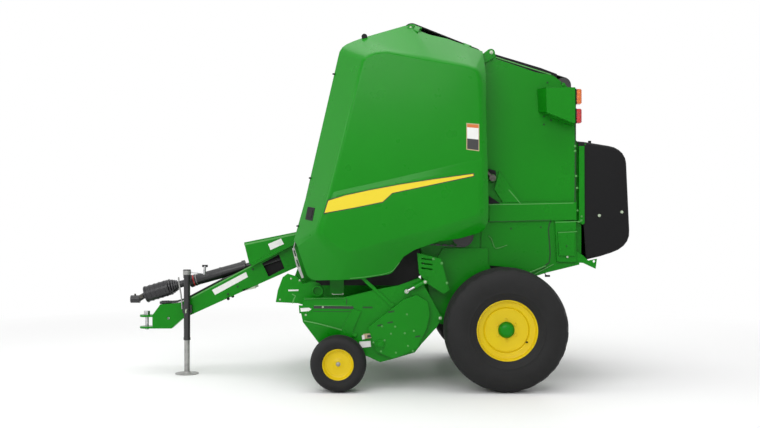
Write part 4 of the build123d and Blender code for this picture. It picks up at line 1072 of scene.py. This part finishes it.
def make_jack_trim():
    """The jack's T-knob, rings, head band, pin and foot, and the stay and knobs on the drawbar."""
    for side, name in SIDES.items():
        x, z = at_pixel(228.4, 298.6, BAR_OUT + 0.01)
        stem = (x, side * BAR_OUT, z + 0.004), (x, side * (BAR_OUT + 0.024), z), 0.006, 0.006, 12
        head = stud(side, (x, z), BAR_OUT + 0.02, BAR_OUT + 0.036, 0.014, 0.011, 16)
        cones(f"bar_knob_{name}", "chassis", "black_plastic", stem, head)
    x, z = at_pixel(205, 268, 0.171)
    cones("jack_knob", "chassis", "black_plastic", upright(x, JACK_Y, z - 0.02, z + 0.012, 0.008, 0.01, 12),
          ((x - 0.024, JACK_Y, z + 0.018), (x + 0.024, JACK_Y, z + 0.018), 0.01, 0.01, 16))
    rings = [upright(JACK_X, JACK_Y, low, high, radius, radius, 32) for low, high, radius in JACK_RINGS]
    cones("jack_rings", "chassis", "black_paint", *rings)
    bm = bmesh.new()
    sleeve(bm, (JACK_X, JACK_Y, 0.868), (JACK_X, JACK_Y, 0.904), 0.0341, 0.0348)
    piece("jack_head_band", bm, "chassis", "galvanised")
    rod("jack_pin", JACK_PIN, 0.006, "chassis", "zinc")
    spots = [(x, -0.135, z) for x, z in outline_px(BAR_STAY_PX, 0.135)]
    rod("bar_stay", spots, 0.0065, "chassis", "galvanised")
    foot = [upright(JACK_X, JACK_Y, 0.008, 0.022, 0.046, 0.03, 32)]
    for turn in range(4):
        angle = math.radians(45 + 90 * turn)
        x, y = JACK_X + 0.07 * math.cos(angle), JACK_Y + 0.07 * math.sin(angle)
        foot.append(upright(x, y, 0.0075, 0.0095, 0.01, 0.01, 16))
    cones("jack_foot_trim", "jack_leg", "galvanised", *foot)


# Pickup: the folded crease of the end plate and the bent panel below it, and the drive cover's boss
FOLD_TOP_PX = ((303.8, 320.4), (329.9, 326.4), (351, 331.6), (358, 334.2))
FOLD_LOW_PX = ((304.4, 321.8), (329.5, 327.9), (350, 333.4), (356, 337.4))
FOLD_FOOT_PX = ((306.6, 324.8), (318.6, 340.6), (330, 337.4), (341, 337))
FOLD_OUT = 0.013
BOSS = at_pixel(380, 344, DRIVE_OUT)


def make_pickup_trim():
    """The fold on the pickup's end plates and the ring boss with its cap on the drive cover."""
    for side, name in SIDES.items():
        bm = bmesh.new()
        rows = []
        for pixels, plane, out in (
            (FOLD_TOP_PX, END_OUT, END_OUT + 0.0006), (FOLD_LOW_PX, END_OUT + FOLD_OUT, END_OUT + FOLD_OUT),
            (FOLD_FOOT_PX, END_OUT, END_OUT + 0.0006),
        ):
            rows.append([bm.verts.new((x, side * out, z)) for x, z in outline_px(pixels, plane)])
        for upper, lower in zip(rows, rows[1:]):
            for i in range(3):
                bm.faces.new((upper[i], upper[i + 1], lower[i + 1], lower[i]))
        top, low, foot = rows
        bm.faces.new((top[0], low[0], foot[0]))
        bm.faces.new((top[3], foot[3], low[3]))
        piece(f"end_fold_{name}", bm, "pickup", "green_paint", 10)
    cones("drive_boss_left", "pickup", "green_paint",
          stud(LEFT, BOSS, DRIVE_OUT, DRIVE_OUT + 0.01, 0.04, 0.038, 32),
          stud(LEFT, BOSS, DRIVE_OUT + 0.01, DRIVE_OUT + 0.016, 0.026, 0.024, 32))


# What lies flat on the side planes. Name, body, finish, distance off the middle, width and pixels,
# then the sides where it isn't both.
# The dark green and black lines are painted shade in seams, slots and steps; the light green lines are
# painted highlights on lips, rails, folds and creases.
SIDE_LINES = (
    ("gate_seam_rear", "gate", "seam_shadow", WALL_OUT, 0.011,
     ((575.2, 124), (575.4, 150), (575.2, 190), (574.7, 211.6), (573.4, 214.3), (566, 216), (556, 217.3))),
    ("gate_seam_low", "gate", "seam_shadow", WALL_OUT, 0.012,
     ((556, 217.3), (552.4, 218.4), (549.6, 223.2), (548.4, 229.5), (549.3, 240.2), (550.2, 253.6),
      (549.3, 262.5), (544.8, 265.8))),
    ("gusset_lip", "gate", "green_edge", WALL_OUT + 0.024, 0.006,
     ((508.6, 189.6), (515, 197), (520.6, 203.8))),
    ("top_rail", "gate", "green_edge", 0.79, 0.008, ((496, 57.2), (520, 64.8), (551, 74.6))),
    ("band_lip", "gate", "green_edge", BAND_OUT, 0.006,
     ((487.5, 204.6), (520, 204.2), (550, 203.6), (573.6, 203))),
    ("band_foot", "gate", "seam_shadow", BAND_OUT, 0.005, ((488, 221.6), (520, 221), (551, 220))),
    ("housing_crease_top", "gate", "green_edge", WALL_OUT + 0.026, 0.006, ((555, 222.4), (581, 221.4))),
    ("housing_crease_low", "gate", "green_edge", WALL_OUT + 0.038, 0.006, ((558, 232.6), (577, 231.6))),
    ("bar_lip_top", "chassis", "green_edge", BAR_OUT, 0.011,
     ((190, 298.6), (222.5, 281.4), (250.5, 266.4), (292, 245))),
    ("cover_lip", "chassis", "green_edge", COVER_OUT, 0.014, ((244.2, 244.6), (296, 234))),
    ("cover_slot_0", "pickup", "seam_shadow", DRIVE_OUT, 0.013, ((377.4, 325.8), (382.6, 324.8)), (LEFT,)),
    ("cover_slot_1", "pickup", "seam_shadow", DRIVE_OUT, 0.013, ((388.2, 312.2), (394.4, 311.2)), (LEFT,)),
    ("cover_slot_2", "pickup", "seam_shadow", DRIVE_OUT, 0.013, ((387.4, 322.9), (393, 321.9)), (LEFT,)),
    ("cover_slot_3", "pickup", "seam_shadow", DRIVE_OUT, 0.013, ((415.2, 336.8), (420.4, 336)), (LEFT,)),
    ("end_slot_top", "pickup", "green_edge", END_OUT, 0.007, ((314, 305.6), (352, 306.2))),
    ("end_slot", "pickup", "black_paint", END_OUT, 0.022, ((313.7, 307.2), (353.5, 307.6))),
    ("end_crease", "pickup", "green_edge", END_OUT + 0.0135, 0.01,
     ((304.1, 320.8), (318, 323.6), (329.7, 326.6), (342, 330))),
    ("end_slot_short", "pickup", "seam_shadow", END_OUT, 0.014, ((362.6, 307.4), (372.6, 307.5))),
    ("end_step", "pickup", "seam_shadow", END_OUT, 0.005, ((313, 311.3), (340, 311.6), (356.5, 311.3))),
    ("end_seam", "pickup", "seam_shadow", END_OUT, 0.007, ((346.6, 298.7), (346.6, 304.6))),
    ("end_top_light", "pickup", "green_edge", END_OUT, 0.007,
     ((304.5, 299), (325, 298.2), (344.3, 298))),
    ("guard_slit", "windguard", "decal_white", GUARD_OUT, 0.012, ((288.2, 290.4), (298.4, 290.2))),
    ("guard_fold", "windguard", "green_edge", GUARD_OUT, 0.01,
     ((292, 294), (295.4, 296), (293.6, 299.6), (292.6, 303.4))),
    ("leg_line", "chassis", "decal_white", WALL_OUT, 0.004, ((332, 294.4), (343.4, 294.2))),
)
# Groups of bolts and of dark heads: name, body, finish, distance off the middle, size and pixels. Light green
# heads carry a painted highlight; dark green heads and holes are painted shade.
SIDE_BOLTS_PX = (
    ("gate_bolts", "gate", "green_edge", WALL_OUT, 0.008, ((575, 146), (575, 151), (576, 176), (577, 188))),
    ("gate_dots", "gate", "seam_shadow", WALL_OUT, 0.006,
     ((547.6, 82.5), (561.6, 83.4), (543.8, 116.7), (551, 120.3), (543.9, 124.5), (493.5, 181))),
    ("housing_bolts", "gate", "zinc", WALL_OUT + 0.038, 0.007, ((567.4, 257),)),
    ("housing_holes", "gate", "seam_shadow", WALL_OUT + 0.036, 0.006, ((566.6, 246),)),
    ("strip_bolts", "gate", "green_edge", 0.804, 0.007,
     ((577.4, 210.4), (578.6, 222), (581.6, 216.4), (581.4, 220.4))),
    ("bar_dots", "chassis", "seam_shadow", BAR_OUT, 0.008, ((237.6, 286.6), (252.8, 269.2), (228, 294))),
    ("end_bolts", "pickup", "zinc", END_OUT, 0.0065, ((322.8, 307.1), (305.8, 314.9), (382, 319.6))),
    ("drive_cover_bolts", "pickup", "green_edge", DRIVE_OUT, 0.0065,
     ((382, 326.2), (395.2, 326.7), (391, 333.8), (404.8, 333.2), (413.9, 330.9), (408, 346),
      (373.4, 342.4), (384.5, 340.3), (396, 352.7), (412.8, 351), (381, 351.4), (407, 314.3)), (LEFT,)),
    ("arm_pivot", "pickup", "zinc", END_OUT, 0.012, ((440, 318),)),
    ("guard_bolts", "windguard", "zinc", GUARD_OUT, 0.006, ((291, 278.6), (299.6, 280.4), (280, 299.6))),
    ("leg_dots", "chassis", "zinc", WALL_OUT, 0.004, ((332.4, 293.8), (343, 293.6))),
    ("bracket_bolts", "chassis", "green_edge", BRACKET_OUT, 0.009,
     ((433.4, 259), (441.8, 263.2), (447, 283))),
    ("shield_stay_pin", "shield", "zinc", STAY_OUT, 0.007, ((295.9, 257.9),)),
)
# Single nuts and pins at places in (X, Z)
SIDE_NUTS = (
    ("top_lug_bolt", "shield", "zinc", 0.844, 0.009, (LUG,)),
    ("corner_roll_nut", "gate", "green_paint", 0.7885, 0.016, (CORNER_ROLL,)),
    ("hinge_nut", "chassis", "zinc", 0.824, 0.012, ((0.996, 2.715),)),
    ("net_bolts", "net_cover", "zinc", NET_OUT, 0.01, ((1.883, 1.386), (2.067, 1.415))),
    ("lift_pins", "lift_barrels", "zinc", 1.0172, 0.01, ((0.45, 0.858),)),
    ("lift_eye_pins", "lift_rods", "zinc", 1.0172, 0.01, ((0.302, 0.782),)),
)
# Flat plates: name, body, finish, plane of the pixels, inner and outer face, then the pixels
SIDE_PLATES = (
    ("stripe_edge", "shield", "decal_black", PANEL_FACE, PANEL_FACE - 0.0005, PANEL_FACE + 0.0005,
     STRIPE_EDGE_PX),
    ("stripe", "shield", "yellow_film", PANEL_FACE, PANEL_FACE, PANEL_FACE + 0.001, STRIPE_PX),
    ("shield_decal_border", "shield", "decal_tan", SHIELD_FACE, SHIELD_FACE - 0.0005, SHIELD_FACE + 0.0004,
     ((466.4, 123), (479.2, 124), (479.2, 151.2), (466.4, 149.6))),
    ("shield_decal_header", "shield", "decal_orange",
     SHIELD_FACE, SHIELD_FACE - 0.0005, SHIELD_FACE + 0.0007,
     ((467.2, 124), (478.5, 124.9), (478.5, 128.2), (467.2, 127.2))),
    ("shield_decal_field", "shield", "decal_white", SHIELD_FACE, SHIELD_FACE - 0.0005, SHIELD_FACE + 0.0007,
     ((467.2, 127.2), (478.5, 128.2), (478.5, 139.6), (467.2, 138.4))),
    ("shield_decal_foot", "shield", "decal_black", SHIELD_FACE, SHIELD_FACE - 0.0005, SHIELD_FACE + 0.0007,
     ((467.2, 138.4), (478.5, 139.6), (478.5, 150.2), (467.2, 148.8))),
    ("shield_stay", "shield", "galvanised", 0.85, 0.848, STAY_OUT,
     ((292.2, 248.4), (294.6, 247.6), (298.8, 262), (303.8, 277.6), (301.8, 278.4), (296.2, 265.4))),
    ("gate_rear_strip", "gate", "green_paint", 0.804, 0.8, 0.804,
     ((579, 146), (584.4, 146), (584.6, 223.4), (582.6, 224.6), (579, 222))),
    ("gate_sill", "gate", "green_paint", WALL_OUT, 0.786, WALL_OUT - 0.0005,
     ((506, 263), (545, 261), (579.4, 259), (579.4, 264.6), (546, 272.8), (537, 275.8), (518, 271))),
    ("top_seal", "gate", "black_plastic", 0.79, 0.772, 0.79,
     ((491, 53), (496.5, 54.6), (540.5, 67.8), (557, 74), (557, 78), (538, 76), (507, 67),
      (495, 61))),
    ("bar_decal", "chassis", "decal_white", BAR_OUT, BAR_OUT, BAR_OUT + 0.001,
     ((212, 290), (246, 272), (248, 277), (215, 295))),
    ("cover_skirt", "chassis", "green_paint", COVER_OUT, 0.197, 0.1995,
     ((250.4, 260), (294, 237), (299, 236), (300, 241), (292.5, 245.4), (251.4, 266.4))),
    ("bar_window", "chassis", "black_plastic", 0.066, 0.06, 0.066,
     ((259, 264.5), (280, 253), (287.5, 268.8), (267, 280))),
    ("cover_decal", "chassis", "decal_white", COVER_OUT, COVER_OUT, COVER_OUT + 0.001,
     ((268, 244), (281, 238.5), (284, 244), (270.5, 250))),
    ("wear_pad", "chassis", "zinc", BAR_OUT, 0.06, BAR_OUT,
     ((242.5, 289.4), (255.2, 286.2), (255.4, 288.4), (242.8, 291.2))),
    ("end_decal_brown", "pickup", "decal_tan", END_OUT + 0.002, END_OUT, END_OUT + 0.0128,
     ((363, 334), (375.4, 332.6), (375.8, 337.2), (363.4, 338.8)), (LEFT,)),
    ("end_decal_pale", "pickup", "decal_white", END_OUT + 0.002, END_OUT, END_OUT + 0.0132,
     ((361.8, 335.4), (364.4, 334.8), (364.8, 339), (362.2, 339.4)), (LEFT,)),
    ("end_decal_dark", "pickup", "decal_black", END_OUT + 0.002, END_OUT, END_OUT + 0.0132,
     ((367.2, 335), (375, 334), (375.2, 336.6), (367.4, 337.6)), (LEFT,)),
    ("end_decal_plain", "pickup", "decal_white", END_OUT + 0.002, END_OUT, END_OUT + 0.0128,
     ((359.4, 341.6), (370.6, 340.8), (371, 346.6), (359.8, 347.8)), (LEFT,)),
    ("end_tab", "pickup", "green_paint", END_OUT, END_OUT - 0.001, END_OUT + 0.003,
     ((298.8, 305.2), (313, 306), (312.6, 311), (308.4, 312.8), (299.4, 313.4))),
    ("end_tab_face", "pickup", "decal_white", END_OUT, END_OUT + 0.002, END_OUT + 0.0038,
     ((300.4, 308.2), (309, 307.6), (311.4, 309.2), (309, 311), (300.8, 311.8))),
)


def lay_sides():
    """Lay every line, plate and bolt of the tables on its side plane."""
    for name, body, finish, out, width, pixels, *sides in SIDE_LINES:
        side_line(name, body, finish, out, width, pixels, *sides)
    for name, body, finish, out, size, pixels, *sides in SIDE_BOLTS_PX:
        side_bolts(name, body, finish, out, size, outline_px(pixels, out), *sides)
    for row in SIDE_NUTS:
        side_bolts(*row)
    for name, body, finish, plane, inner, outer, pixels, *sides in SIDE_PLATES:
        side_plate(name, body, finish, inner, outer, outline_px(pixels, plane), *sides)


make_wheels()
make_shields()
make_shield_trim()
make_gate_trim()
make_wings()
make_lamps()
make_net_cover()
make_net_trim()
make_front_sheet_trim()
make_line_trim()
make_jack_trim()
make_pickup_trim()
lay_sides()


# Camera, light and floor
def set_camera():
    """The photograph's viewpoint."""
    lens = bpy.data.cameras.new("camera")
    lens.lens = LENS
    lens.sensor_width = SENSOR
    camera = bpy.data.objects.new("camera", lens)
    camera.location = (CAMERA_X, CAMERA_Y, CAMERA_Z)
    camera.rotation_euler = (math.radians(90), 0, 0)
    bpy.context.scene.collection.objects.link(camera)
    bpy.context.scene.camera = camera


def soft_box(name, place, aim, width, height, watts):
    """A large rectangular lamp that points at a place."""
    lamp = bpy.data.lights.new(name, "AREA")
    lamp.shape = "RECTANGLE"
    lamp.size = width
    lamp.size_y = height
    lamp.energy = watts
    obj = bpy.data.objects.new(name, lamp)
    obj.location = place
    obj.rotation_euler = (Vector(aim) - Vector(place)).to_track_quat("-Z", "Y").to_euler()
    obj.visible_camera = False
    bpy.context.scene.collection.objects.link(obj)


def white_share(tree):
    """The node whose value is 1 for the rays that show the white surroundings."""
    path = tree.nodes.new("ShaderNodeLightPath")
    direct = tree.nodes.new("ShaderNodeMath")
    direct.operation = "MAXIMUM"
    through = tree.nodes.new("ShaderNodeMath")
    through.operation = "MAXIMUM"
    link(path, "Is Camera Ray", direct, 0)
    link(path, "Is Glossy Ray", direct, 1)
    link(direct, "Value", through, 0)
    link(path, "Is Transmission Ray", through, 1)
    return through


# Name, place, aim, width, height and power of each lamp
SOFT_BOXES = (
    ("sky_box", (0.0, -0.8, 7.5), (0.0, 0.0, 0.0), 8.0, 7.0, 330),
    ("front_box", (-2.0, -9.0, 5.3), (0.0, 0.0, 1.4), 8.0, 3.6, 330),
    ("nose_box", (-8.0, -2.2, 4.6), (0.0, 0.0, 1.8), 4.5, 3.5, 110),
    ("back_box", (3.0, 9.0, 4.5), (0.0, 0.0, 1.2), 6.0, 4.0, 200),
)


def set_light():
    """White surroundings that are seen and mirrored, soft graded light for everything else."""
    world = bpy.data.worlds.new("studio")
    bpy.context.scene.world = world
    world.use_nodes = True
    tree = world.node_tree
    tree.nodes.clear()
    place = tree.nodes.new("ShaderNodeTexCoord")
    split = tree.nodes.new("ShaderNodeSeparateXYZ")
    height = node(tree, "ShaderNodeMapRange", From_Min=-1.0, From_Max=1.0)
    grade = tree.nodes.new("ShaderNodeValToRGB")
    set_ramp(grade, (0.49, (0.16, 0.16, 0.16)), (0.6, (1.0, 1.0, 1.0)))
    studio = node(tree, "ShaderNodeBackground", Strength=0.53)
    white = node(tree, "ShaderNodeBackground", Strength=1.0, Color=(1, 1, 1, 1))
    mix = tree.nodes.new("ShaderNodeMixShader")
    out = tree.nodes.new("ShaderNodeOutputWorld")
    link(place, "Generated", split, "Vector")
    link(split, "Z", height, "Value")
    link(height, "Result", grade, "Fac")
    link(grade, "Color", studio, "Color")
    link(white_share(tree), "Value", mix, "Fac")
    link(studio, "Background", mix, 1)
    link(white, "Background", mix, 2)
    link(mix, "Shader", out, "Surface")
    for row in SOFT_BOXES:
        soft_box(*row)


def set_floor():
    """A pale floor that keeps the shadow near the machine and fades into white far off."""
    bpy.ops.mesh.primitive_circle_add(vertices=96, radius=60, fill_type="NGON", location=(0, 0, -0.001))
    floor = bpy.context.object
    floor.name = "floor"
    made = material("floor", (0.93, 0.93, 0.93), 0.6, Specular_IOR_Level=0.1)
    tree = made.node_tree
    place = tree.nodes.new("ShaderNodeTexCoord")
    length = tree.nodes.new("ShaderNodeVectorMath")
    length.operation = "LENGTH"
    fade = node(tree, "ShaderNodeMapRange", From_Min=3.2, From_Max=7.0)
    glow = node(tree, "ShaderNodeEmission", Strength=1.0)
    seen = tree.nodes.new("ShaderNodeMath")
    seen.operation = "MULTIPLY"
    mix = tree.nodes.new("ShaderNodeMixShader")
    link(place, "Object", length, "Vector")
    link(length, "Value", fade, "Value")
    link(fade, "Result", seen, 0)
    link(white_share(tree), "Value", seen, 1)
    link(seen, "Value", mix, "Fac")
    link(shader_of(made), "BSDF", mix, 1)
    link(glow, "Emission", mix, 2)
    link(mix, "Shader", tree.nodes["Material Output"], "Surface")
    floor.data.materials.append(made)


set_camera()
set_light()
set_floor()
bpy.context.scene.view_settings.view_transform = "Standard"
